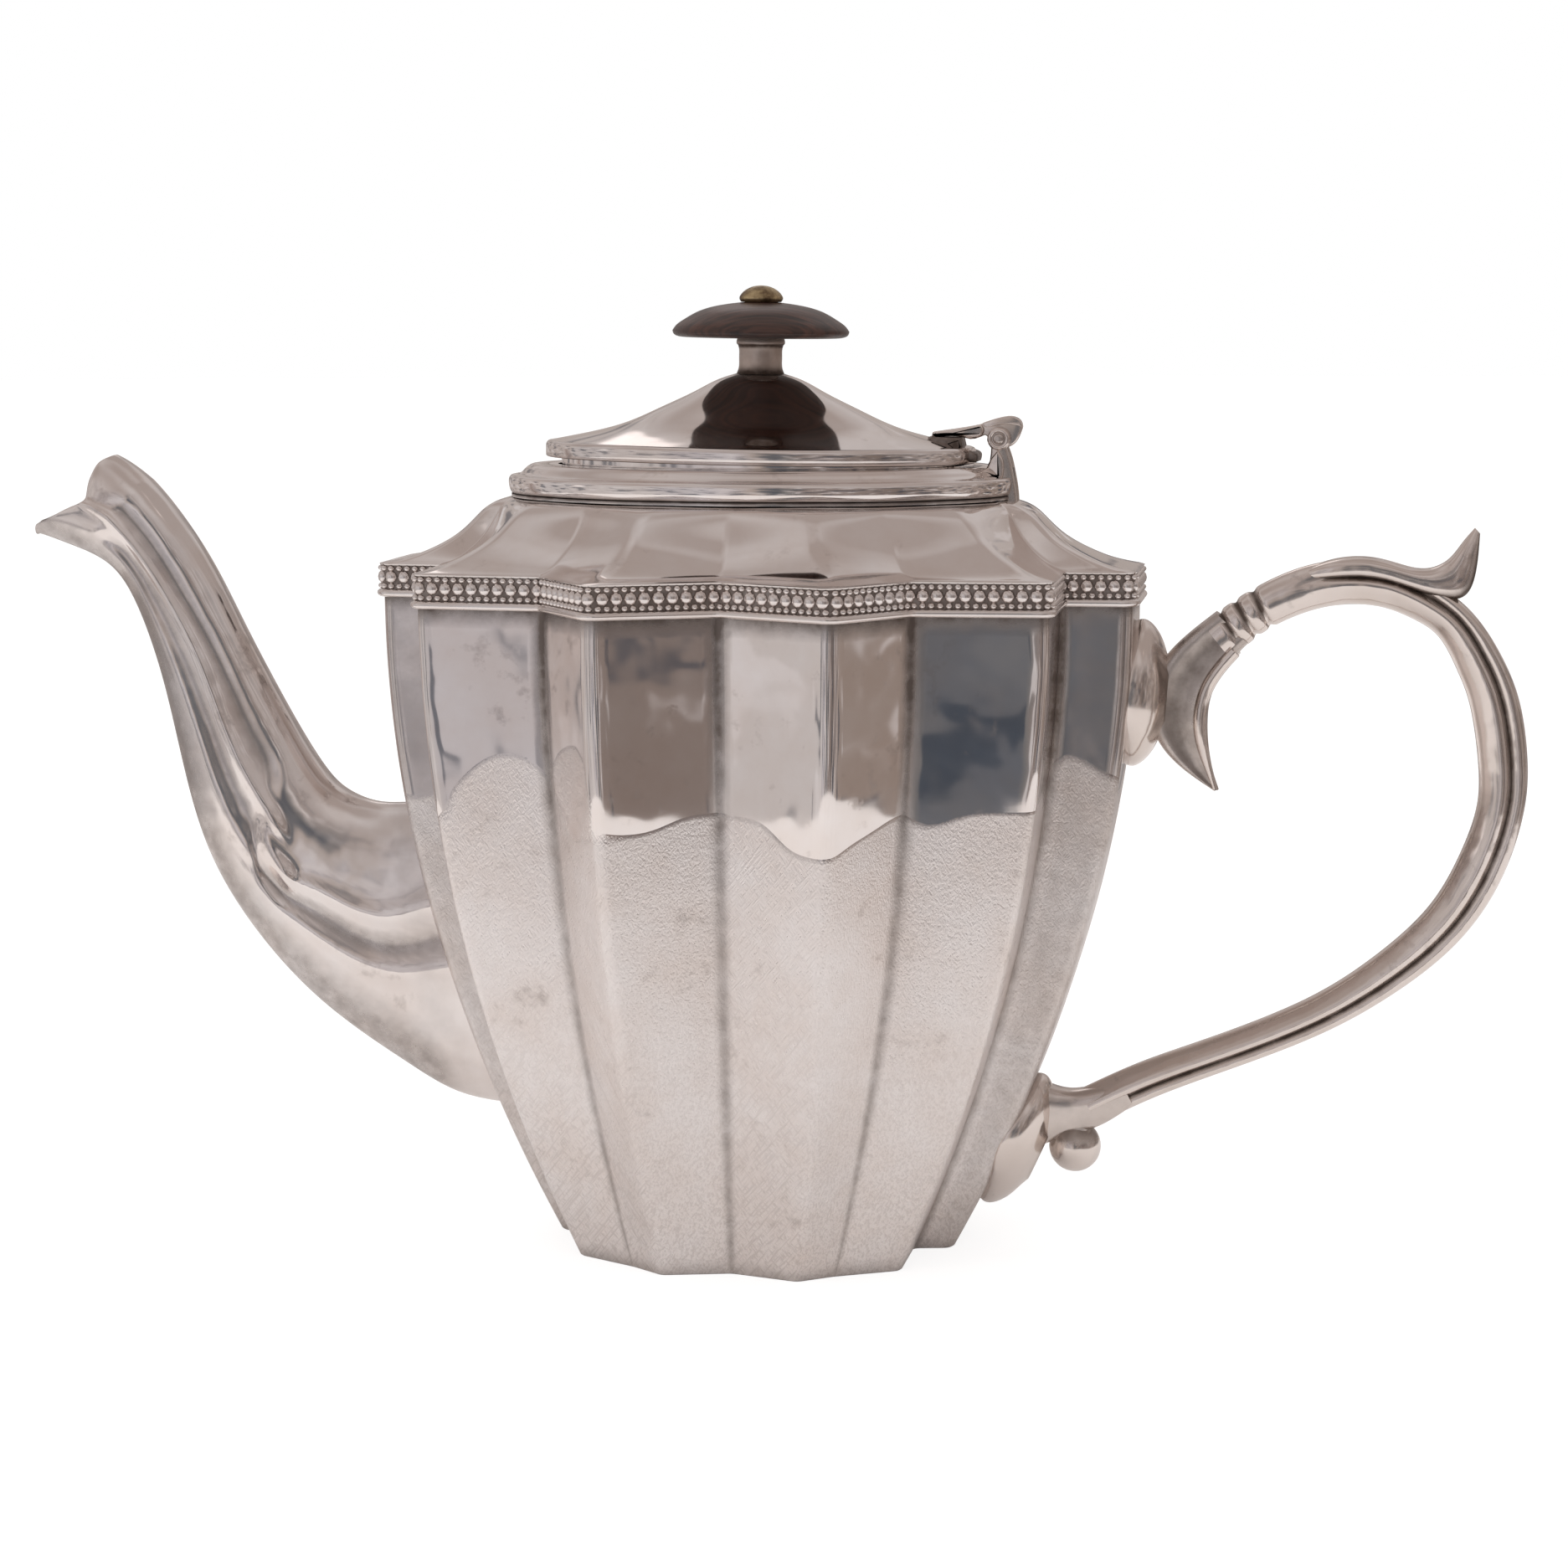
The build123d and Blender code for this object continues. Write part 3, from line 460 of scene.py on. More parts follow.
@dataclass(frozen=True)
class SilverPlate:
    """Electroplated nickel silver, raised or cast, then buffed: a warm pinkish-white mirror that
    browns with tarnish where the cloth can't reach, is painted darker towards the same brown as shade in
    hollows and on faces turned from the light, and greys to a fine cross-hatched haze where it is rubbed."""

    name: str
    plate: str = "#EFEAE8"
    # Brown of real tarnish, and also the colour that painted shade darkens towards.
    patina_and_shade_colour: str = "#4A3B31"
    gloss: float = 0.07            # roughness of the buffed surface
    haze: float = 0.07             # roughness where it is rubbed grey
    haze_height: float = -1.0      # millimetres above the table that the haze reaches
    haze_wander: float = 0.0       # millimetres its edge wanders up and down
    spots: float = 0.35            # how dark the loose tarnish spots are
    depth: float = 0.85            # how dark the tarnish and painted shade of the hollow mask get
    scratches: float = 0.05        # bump of the rubbing marks
    hatching: float = 0.0          # how clearly they show near the base
    ripple: float = 0.10           # bump of the hand-worked sheet
    ripple_size: float = 9.0       # millimetres across one ripple
    grime_size: float = 3.2        # millimetres across a fleck of tarnish
    cloud_size: float = 14.0       # millimetres across a patch of flecks
    haze_patch: float = 24.0       # millimetres along one wave of the haze's edge
    mark_width: float = 0.35       # millimetres, drawn wide enough to show
    mark_length: float = 22.0
    hatch_top: float = 62.0        # millimetres above the table where the marks begin to show
    rubbed: str = "#8F827B"        # colour in a rubbing mark

    def scratch_field(self, tree: bpy.types.NodeTree, coords: bpy.types.NodeSocket,
                      degrees: float, seed: float) -> bpy.types.NodeSocket:
        """Fine straight rubbing marks: noise drawn out 60 to 1 along a line leant over by degrees.

        Real marks are 0.02 mm wide, too fine to show, so they are drawn 0.35 mm wide.

        Args:
            tree: the node tree.
            coords: the place on the piece.
            degrees: how far the marks lean over.
            seed: shift in millimetres to fresh noise.

        Returns:
            The socket with the marks' strength, about 0.5 on average.
        """
        lean = math.radians(degrees)
        stretched = add(tree, "ShaderNodeMapping", {
            "Vector": coords, "Location": (seed * MM, 0, 0), "Rotation": (lean * 0.6, lean, 0),
            "Scale": (self.mark_width * MM, self.mark_width * MM, self.mark_length * MM)},
            vector_type="TEXTURE")
        return add(tree, "ShaderNodeTexNoise", {"Vector": stretched.outputs[0], "Scale": 1.0,
                                                "Detail": 2.0, "Roughness": 0.55}).outputs[0]

    def material(self) -> bpy.types.Material:
        """Builds the finish as nodes: tarnish and painted shade from the hollow mask and noise, haze by height,
        marks as bump.

        Returns:
            The finish.
        """
        material, tree = new_material(self.name)
        coords = add(tree, "ShaderNodeTexCoord").outputs["Object"]
        hollow = add(tree, "ShaderNodeAttribute", attribute_name="hollow").outputs["Fac"]
        grime = add(tree, "ShaderNodeTexNoise", {"Vector": coords, "Scale": per_mm(self.grime_size),
                                                 "Detail": 5.0, "Roughness": 0.6}).outputs[0]
        cloud = add(tree, "ShaderNodeTexNoise", {"Vector": coords, "Scale": per_mm(self.cloud_size),
                                                 "Detail": 4.0, "Roughness": 0.6}).outputs[0]
        broken = add(tree, "ShaderNodeMath", {0: grime, 1: 1.1, 2: 0.45}, operation="MULTIPLY_ADD").outputs[0]
        # The hollow mask carries tarnish and painted shade; noise breaks it up before it darkens the colour.
        patina_and_shade_level = add(tree, "ShaderNodeMath", {0: hollow, 1: broken}, operation="MULTIPLY").outputs[0]
        patina_and_shade_amount = add(tree, "ShaderNodeMapRange", {"Value": patina_and_shade_level, "From Min": 0.12, "From Max": 0.85,
                                                "To Min": 0.0, "To Max": self.depth}).outputs[0]
        speck = add(tree, "ShaderNodeMath", {0: grime, 1: cloud}, operation="MULTIPLY").outputs[0]
        spots = add(tree, "ShaderNodeMapRange", {"Value": speck, "From Min": 0.33, "From Max": 0.52,
                                                 "To Min": 0.0, "To Max": self.spots}).outputs[0]
        dark = add(tree, "ShaderNodeMath", {0: patina_and_shade_amount, 1: spots}, operation="MAXIMUM").outputs[0]
        tint = add(tree, "ShaderNodeMapRange", {"Value": cloud, "From Min": 0.35, "From Max": 0.7}).outputs[0]
        warm = add(tree, "ShaderNodeMix", {"Factor": tint, "A": linear(self.plate), "B": linear("#E8DFDA")},
                   data_type="RGBA").outputs["Result"]
        colour = add(tree, "ShaderNodeMix", {"Factor": dark, "A": warm, "B": linear(self.patina_and_shade_colour)},
                     data_type="RGBA").outputs["Result"]
        marks = add(tree, "ShaderNodeMath", {0: self.scratch_field(tree, coords, 38, 3.0),
                                             1: self.scratch_field(tree, coords, -31, 11.0)},
                    operation="MAXIMUM").outputs[0]
        height = add(tree, "ShaderNodeSeparateXYZ", {0: coords}).outputs["Z"]
        low = add(tree, "ShaderNodeMapRange", {"Value": height, "From Min": self.hatch_top * MM,
                                               "From Max": 4 * MM, "To Max": self.hatching}).outputs[0]
        hatched = add(tree, "ShaderNodeMapRange", {"Value": marks, "From Min": 0.5,
                                                   "From Max": 0.64}).outputs[0]
        hatched = add(tree, "ShaderNodeMath", {0: hatched, 1: low}, operation="MULTIPLY").outputs[0]
        colour = add(tree, "ShaderNodeMix", {"Factor": hatched, "A": colour, "B": linear(self.rubbed)},
                     data_type="RGBA").outputs["Result"]
        hazy = self.haze_mask(tree, coords)
        rough = add(tree, "ShaderNodeMix", {"Factor": hazy, "A": self.gloss, "B": self.haze}).outputs[0]
        fine = add(tree, "ShaderNodeMath", {0: marks, 1: 0.22, 2: -0.11}, operation="MULTIPLY_ADD").outputs[0]
        fine = add(tree, "ShaderNodeMath", {0: fine, 1: hazy}, operation="MULTIPLY").outputs[0]
        rough = add(tree, "ShaderNodeMath", {0: rough, 1: fine}, operation="ADD").outputs[0]
        rough = add(tree, "ShaderNodeMath", {0: dark, 1: 0.38, 2: rough}, operation="MULTIPLY_ADD").outputs[0]
        sheet = add(tree, "ShaderNodeTexNoise", {"Vector": coords, "Scale": per_mm(self.ripple_size),
                                                 "Detail": 1.0, "Roughness": 0.4}).outputs[0]
        waves = add(tree, "ShaderNodeBump", {"Height": sheet, "Strength": self.ripple,
                                             "Distance": 1.0 * MM}).outputs[0]
        drawn = add(tree, "ShaderNodeMath", {0: marks, 1: hazy}, operation="MULTIPLY").outputs[0]
        normal = add(tree, "ShaderNodeBump", {"Height": drawn, "Strength": self.scratches,
                                              "Distance": 0.3 * MM, "Normal": waves}).outputs[0]
        shader = add(tree, "ShaderNodeBsdfPrincipled", {"Base Color": colour, "Metallic": 1.0,
                                                        "Roughness": rough, "Normal": normal}).outputs[0]
        add(tree, "ShaderNodeOutputMaterial", {"Surface": shader})
        return material

    def haze_mask(self, tree: bpy.types.NodeTree, coords: bpy.types.NodeSocket) -> bpy.types.NodeSocket:
        """1 below a wandering height and 0 above it. The edge is as sharp as a cloth's last stroke.

        Args:
            tree: the node tree.
            coords: the place on the piece.

        Returns:
            The socket with the mask.
        """
        cloud = add(tree, "ShaderNodeTexNoise", {"Vector": coords, "Scale": per_mm(self.haze_patch),
                                                 "Detail": 0.8, "Roughness": 0.4}).outputs[0]
        height = add(tree, "ShaderNodeSeparateXYZ", {0: coords}).outputs["Z"]
        edge = add(tree, "ShaderNodeMath", {0: cloud, 1: self.haze_wander * MM,
                                            2: (self.haze_height - self.haze_wander / 2) * MM},
                   operation="MULTIPLY_ADD").outputs[0]
        below = add(tree, "ShaderNodeMath", {0: edge, 1: height}, operation="SUBTRACT").outputs[0]
        return add(tree, "ShaderNodeMapRange", {"Value": below, "From Min": -0.4 * MM,
                                                "From Max": 0.8 * MM}).outputs[0]


@dataclass(frozen=True)
class Rosewood:
    """Turned and waxed rosewood: dark red-brown with long darker pores, and a soft waxed sheen."""

    name: str = "rosewood_turned_waxed"
    light: str = "#40241A"
    dark: str = "#150A07"
    grain: float = 0.9             # millimetres across one band of grain

    def material(self) -> bpy.types.Material:
        """Builds the grain as two noises drawn out along X, one for bands and one for pores.

        Returns:
            The finish.
        """
        material, tree = new_material(self.name)
        coords = add(tree, "ShaderNodeTexCoord").outputs["Object"]
        drawn = add(tree, "ShaderNodeMapping", {"Vector": coords, "Rotation": (0, 0, math.radians(14)),
                                                "Scale": (16 * MM, self.grain * MM, 2.2 * MM)},
                    vector_type="TEXTURE").outputs[0]
        bands = add(tree, "ShaderNodeTexNoise", {"Vector": drawn, "Scale": 1.0, "Detail": 6.0,
                                                 "Roughness": 0.6, "Distortion": 0.5}).outputs[0]
        ramp = add(tree, "ShaderNodeMapRange", {"Value": bands, "From Min": 0.34, "From Max": 0.66}).outputs[0]
        colour = add(tree, "ShaderNodeMix", {"Factor": ramp, "A": linear(self.dark), "B": linear(self.light)},
                     data_type="RGBA").outputs["Result"]
        rough = add(tree, "ShaderNodeMapRange", {"Value": bands, "To Min": 0.48, "To Max": 0.3}).outputs[0]
        normal = add(tree, "ShaderNodeBump", {"Height": bands, "Strength": 0.25,
                                              "Distance": 0.2 * MM}).outputs[0]
        shader = add(tree, "ShaderNodeBsdfPrincipled", {
            "Base Color": colour, "Roughness": rough, "Normal": normal, "IOR": 1.5, "Coat Weight": 0.2,
            "Coat Roughness": 0.3}).outputs[0]
        add(tree, "ShaderNodeOutputMaterial", {"Surface": shader})
        return material


@dataclass(frozen=True)
class Brass:
    """Turned brass left to dull: olive-gold with brown patches and a broad soft highlight."""

    name: str = "brass_turned_dulled"
    bright: str = "#C4B08A"
    dull: str = "#73604A"
    patch: float = 2.4             # millimetres across one brown patch

    def material(self) -> bpy.types.Material:
        """Builds the patches as noise that both browns and roughens the metal.

        Returns:
            The finish.
        """
        material, tree = new_material(self.name)
        coords = add(tree, "ShaderNodeTexCoord").outputs["Object"]
        patches = add(tree, "ShaderNodeTexNoise", {"Vector": coords, "Scale": per_mm(self.patch), "Detail": 5.0,
                                                   "Roughness": 0.6}).outputs[0]
        worn = add(tree, "ShaderNodeMapRange", {"Value": patches, "From Min": 0.38,
                                                "From Max": 0.62}).outputs[0]
        colour = add(tree, "ShaderNodeMix", {"Factor": worn, "A": linear(self.bright), "B": linear(self.dull)},
                     data_type="RGBA").outputs["Result"]
        rough = add(tree, "ShaderNodeMapRange", {"Value": patches, "To Min": 0.24, "To Max": 0.5}).outputs[0]
        normal = add(tree, "ShaderNodeBump", {"Height": patches, "Strength": 0.15,
                                              "Distance": 0.2 * MM}).outputs[0]
        shader = add(tree, "ShaderNodeBsdfPrincipled", {"Base Color": colour, "Metallic": 1.0,
                                                        "Roughness": rough, "Normal": normal}).outputs[0]
        add(tree, "ShaderNodeOutputMaterial", {"Surface": shader})
        return material


# ---- plan of the body -------------------------------------------------------------------


@dataclass
class Plan:
    """The scalloped plan: 22 corners, opening from the foot to the rim on a parabola."""

    rim_height: float = 117.5
    rim: tuple = ((67.8, 10.5), (55.2, 11.0), (55.2, 32.0), (32.0, 33.6), (20.6, 48.6))
    rim_valley: float = 39.6
    foot: tuple = ((36.6, 8.0), (29.6, 9.4), (29.2, 23.5), (18.2, 29.0), (12.2, 33.2))
    foot_valley: float = 30.2
    radii: tuple = (2.2, 1.6, 1.8, 2.6, 2.4)
    valley_radius: float = 3.0
    ridges: tuple = (True, False, True, False, True)
    arc_points: int = 7
    run_points: int = 10

    @staticmethod
    def whole(quarter: Sequence, valley: float) -> np.ndarray:
        """A quarter's corners mirrored round into the loop of 22.

        Args:
            quarter: corners (x, y) of the quarter with both positive, from the handle's end.
            valley: Y of the valley in the middle of the front.

        Returns:
            Corners round the loop, shape (22, 2).
        """
        q = np.array(quarter)
        back_left, front_left, front_right = q[::-1] * [-1, 1], q * [-1, -1], q[::-1] * [1, -1]
        return np.vstack([q, [[0, valley]], back_left, front_left, [[0, -valley]], front_right])

    def ridge_row(self) -> np.ndarray:
        """+1 at each corner that stands out and -1 at each valley, round the loop."""
        signs = [1 if ridge else -1 for ridge in self.ridges]
        return np.array(signs + [-1] + signs[::-1] + signs + [-1] + signs[::-1])

    def radius_row(self) -> np.ndarray:
        """Corner radii round the loop."""
        row = list(self.radii)
        return np.array(row + [self.valley_radius] + row[::-1] + row + [self.valley_radius] + row[::-1])

    def loops(self, z: np.ndarray, inset: np.ndarray) -> np.ndarray:
        """Outlines at heights z, moved in by inset.

        Every side moves in along its normal and meets the next again. Each corner becomes an arc:
        the points centre + (sin((1-t)a) u + sin(ta) v) / sin a between the unit arms u and v.

        Args:
            z: heights, shape (rows,).
            inset: distance inwards at each height, shape (rows,).

        Returns:
            Points, shape (rows, columns, 3).
        """
        opened = 1 - (1 - np.clip(z / self.rim_height, 0, 1)) ** 2
        low, high = self.whole(self.foot, self.foot_valley), self.whole(self.rim, self.rim_valley)
        corner = low[None] + (high - low)[None] * opened[:, None, None]
        before = unit(corner - np.roll(corner, 1, 1))
        after = unit(np.roll(corner, -1, 1) - corner)
        normals = [np.stack([-side[..., 1], side[..., 0]], -1) for side in (before, after)]
        facing = np.sum(normals[0] * normals[1], -1, keepdims=True)
        corner = corner + (normals[0] + normals[1]) * inset[:, None, None] / (1 + facing)
        radius = np.maximum(self.radius_row()[None] - self.ridge_row()[None] * inset[:, None], 0.3)
        before, after = unit(np.roll(corner, 1, 1) - corner), unit(np.roll(corner, -1, 1) - corner)
        half = np.arccos(np.clip(np.sum(before * after, -1), -1, 1)) / 2
        setback = (radius / np.tan(half))[..., None]
        start, end = corner + before * setback, corner + after * setback
        centre = corner + unit(before + after) * (radius / np.sin(half))[..., None]
        t = np.linspace(0, 1, self.arc_points)[None, None, :, None]
        sweep = (math.pi - 2 * half)[..., None, None]
        arm_a, arm_b = (start - centre)[:, :, None], (end - centre)[:, :, None]
        arc = centre[:, :, None] + (np.sin((1 - t) * sweep) * arm_a + np.sin(t * sweep) * arm_b) / np.sin(sweep)
        t = (np.arange(self.run_points) + 1)[None, None, :, None] / (self.run_points + 1)
        run = end[:, :, None] * (1 - t) + np.roll(start, -1, 1)[:, :, None] * t
        flat = np.concatenate([arc, run], 2).reshape(len(z), -1, 2)
        height = np.broadcast_to(z[:, None, None], (*flat.shape[:2], 1))
        return np.concatenate([flat, height], -1)

    def valley_nearness(self, width: float) -> np.ndarray:
        """How near each column of the loop is to a valley, as a bell of its distance round the rim.

        Args:
            width: width of the bell in millimetres.

        Returns:
            Nearness from 0 to 1, one for each column.
        """
        loop = self.loops(np.array([self.rim_height]), np.zeros(1))[0, :, :2]
        along = pace_of(np.vstack([loop, loop[:1]]))
        per_corner = self.arc_points + self.run_points
        middles = np.arange(len(self.ridge_row())) * per_corner + self.arc_points // 2
        valleys = along[middles[self.ridge_row() < 0]]
        gap = np.abs(along[:-1, None] - valleys[None])
        gap = np.minimum(gap, along[-1] - gap)
        return bell(gap.min(1), width)

    def spaced(self, z: float, outset: float, pitch: float) -> tuple[np.ndarray, np.ndarray]:
        """Evenly spaced places round the loop at height z, moved out by outset.

        Args:
            z: height of the loop.
            outset: distance outwards.
            pitch: wished distance between places.

        Returns:
            Places (n, 3) and outward unit normals (n, 3).
        """
        loop = self.loops(np.array([z]), np.array([-outset]))[0]
        closed = np.vstack([loop, loop[:1]])
        along = pace_of(closed)
        count = int(round(along[-1] / pitch))
        at = np.arange(count) * along[-1] / count
        places = np.stack([np.interp(at, along, closed[:, k]) for k in range(3)], 1)
        way = unit(np.roll(places, -1, 0) - np.roll(places, 1, 0))
        return places, np.stack([way[:, 1], -way[:, 0], np.zeros(count)], 1)


def hand_worked(points: np.ndarray, height: float) -> np.ndarray:
    """Slight unevenness of hammered sheet: a sum of five slow sine waves, in millimetres.

    Args:
        points: places on the sheet, shape (..., 3).
        height: greatest height of the waves.

    Returns:
        Height of the sheet at each point.
    """
    x, y, z = points[..., 0], points[..., 1], points[..., 2]
    waves = (np.sin(x / 7.1 + z / 19.0 + 0.4) + np.sin(y / 8.3 - z / 13.7 + 1.9)
             + 0.8 * np.sin((x + y) / 4.9 + z / 31.0) + 0.7 * np.sin(z / 9.7 + (x - y) / 11.3 + 2.2)
             + 0.4 * np.sin(x / 3.3 - y / 3.9 + z / 6.1))
    return height * waves / 4


# ---- sub-assemblies -----------------------------------------------------------------------


@dataclass
class PotBody:
    """Panelled sheet wall, its border wire and the beaded border."""

    plan: Plan
    wall_top: float = 123.3
    sheet: float = 1.0
    unevenness: float = 0.16
    wire_height: float = 1.5
    wire_overhang: float = 1.3
    border_top: float = 123.3
    strip_overhang: float = 0.35
    pearl: float = 1.2             # radius of a bead in the middle row
    pearl_pitch: float = 2.4
    seed: float = 0.56             # radius of a bead in the edge rows
    seed_pitch: float = 1.5

    def wall(self, finish: bpy.types.Material) -> None:
        """Wall as a ring: heights up the outside, over the top, and down the inside.

        Args:
            finish: material of the panels.
        """
        rise = self.plan.rim_height * np.linspace(0, 1, 64)
        outer = np.concatenate([[0.0], 0.25 + rise[:-1] * (1 - 0.25 / rise[-1]), [rise[-1], self.wall_top]])
        inner = np.concatenate([[self.wall_top], rise[::-4], [0.0]])
        z = np.concatenate([outer, inner])
        inset = np.concatenate([[0.25], np.zeros(len(outer) - 1), np.full(len(inner), self.sheet)])
        grid = self.plan.loops(z, inset)
        centre = grid.mean(1, keepdims=True)
        outward = unit((grid - centre) * [1, 1, 0])
        calm = ease(0, 14, z) * (1 - ease(108, 117, z))
        grid[..., :2] += (outward * (hand_worked(grid, self.unevenness) * calm[:, None])[..., None])[..., :2]
        # Tarnish and painted shade: darker in the valleys, just under the border and at the foot, and painted
        # shade over both end lobes.
        near_valley = self.plan.valley_nearness(1.5)[None]
        under_border = bell(z - self.plan.rim_height, 2.2)[:, None] * 0.75
        at_foot = bell(z, 3.0)[:, None] * 0.35
        hollow = np.maximum(near_valley * (0.45 + 0.4 * ease(60, 117, z))[:, None], under_border)
        hollow = np.maximum(hollow, at_foot + 0 * near_valley)
        opened = 1 - (1 - np.clip(z / self.plan.rim_height, 0, 1)) ** 2
        lobe = self.plan.foot[1][0] + (self.plan.rim[1][0] - self.plan.foot[1][0]) * opened
        # Painted shade: both end lobes darkened evenly below the top of the wall.
        ends = np.abs(grid[..., 0]) - lobe[:, None]
        hollow = np.maximum(hollow, 0.27 * ease(-1, 4, ends) * (z[:, None] < self.wall_top))
        Skin.of_grid(grid, hollow, closed_rows=True).make(
            "body_wall", Body.POT, "silver_plate", finish, ["body_shell"])

    def wire(self, finish: bpy.types.Material) -> None:
        """Half-round wire: overhang times sin t over a height that runs as (1 - cos t) / 2.

        Args:
            finish: material of the border.
        """
        turn = np.linspace(0, math.pi, 9)
        low = self.plan.rim_height
        z = np.concatenate([[low], low + self.wire_height * (1 - np.cos(turn)) / 2, [low + self.wire_height]])
        inset = np.concatenate([[-0.04], -0.25 - (self.wire_overhang - 0.25) * np.sin(turn), [-0.04]])
        grid = self.plan.loops(z, inset)
        # Tarnish and painted shade where the wire meets the sheet, and painted shade as its round turns in
        # above and below.
        hollow = np.concatenate([[1.0], 0.55 * (1 - np.sin(turn)), [1.0]])[:, None]
        Skin.of_grid(grid, hollow, closed_rows=True).make(
            "border_wire_round", Body.POT, "border_silver", finish, ["border_wire"])

    def beads(self, z: float, outset: float, pitch: float, radius: Sequence[float]) -> Skin:
        """Row of beads: one small ball grid, set at each place along its outward normal.

        Args:
            z: height of the row.
            outset: distance of the bead middles from the wall.
            pitch: distance between beads.
            radius: bead half sizes outwards, along the row and up.

        Returns:
            The row's skin.
        """
        places, outward = self.plan.spaced(z, outset, pitch)
        rows, around = 5, 9
        tilt = np.linspace(-math.pi / 2 + 0.35, math.pi / 2 - 0.35, rows)
        turn = np.linspace(0, 2 * math.pi, around, endpoint=False)
        ball = np.stack([np.cos(tilt)[:, None] * np.cos(turn), np.cos(tilt)[:, None] * np.sin(turn),
                         np.broadcast_to(np.sin(tilt)[:, None], (rows, around))], -1)
        one = Skin.of_grid(ball)
        across = np.stack([-outward[:, 1], outward[:, 0], np.zeros(len(outward))], 1)
        up = np.array([0.0, 0.0, 1.0])
        p = one.points
        points = (places[:, None] + radius[0] * p[None, :, :1] * outward[:, None]
                  + radius[1] * p[None, :, 1:2] * across[:, None] + radius[2] * p[None, :, 2:] * up)
        shift = np.arange(len(places)) * len(p)
        faces = []
        for size in (4, around):
            group = np.array([f for f in one.faces if len(f) == size])
            faces += (shift[:, None, None] + group[None]).reshape(-1, size).tolist()
        # Painted shade: each bead darkened as it turns from the front towards its top, bottom and sides.
        hollow = 0.85 * (1 - np.clip(p[:, 0] * 1.9 + 0.35, 0, 1))
        return Skin(points.reshape(-1, 3), faces, np.tile(hollow, len(places)))

    def beading(self, finish: bpy.types.Material) -> None:
        """Strip with three rows of beads, the middle row the largest.

        Args:
            finish: material of the border.
        """
        low = self.plan.rim_height + self.wire_height
        rows = 9
        z = np.concatenate([[low], np.linspace(low, self.border_top, rows), [self.border_top]])
        inset = np.concatenate([[-0.04], np.full(rows, -self.strip_overhang), [-0.04]])
        # The strip between the beads darkened with tarnish and painted shade.
        strip = Skin.of_grid(self.plan.loops(z, inset), np.full((len(z), 1), 0.85), closed_rows=True)
        middle = (low + self.border_top) / 2
        pearls = self.beads(middle, self.strip_overhang - 0.1, self.pearl_pitch,
                            (0.95, self.pearl, self.pearl))
        size = (0.8, self.seed + 0.1, self.seed)
        seeds = [self.beads(z_row, self.strip_overhang - 0.05, self.seed_pitch, size)
                 for z_row in (low + self.seed * 0.9, self.border_top - self.seed)]
        (strip + pearls + seeds[0] + seeds[1]).make(
            "bead_border_rows", Body.POT, "border_silver", finish, ["bead_border"])


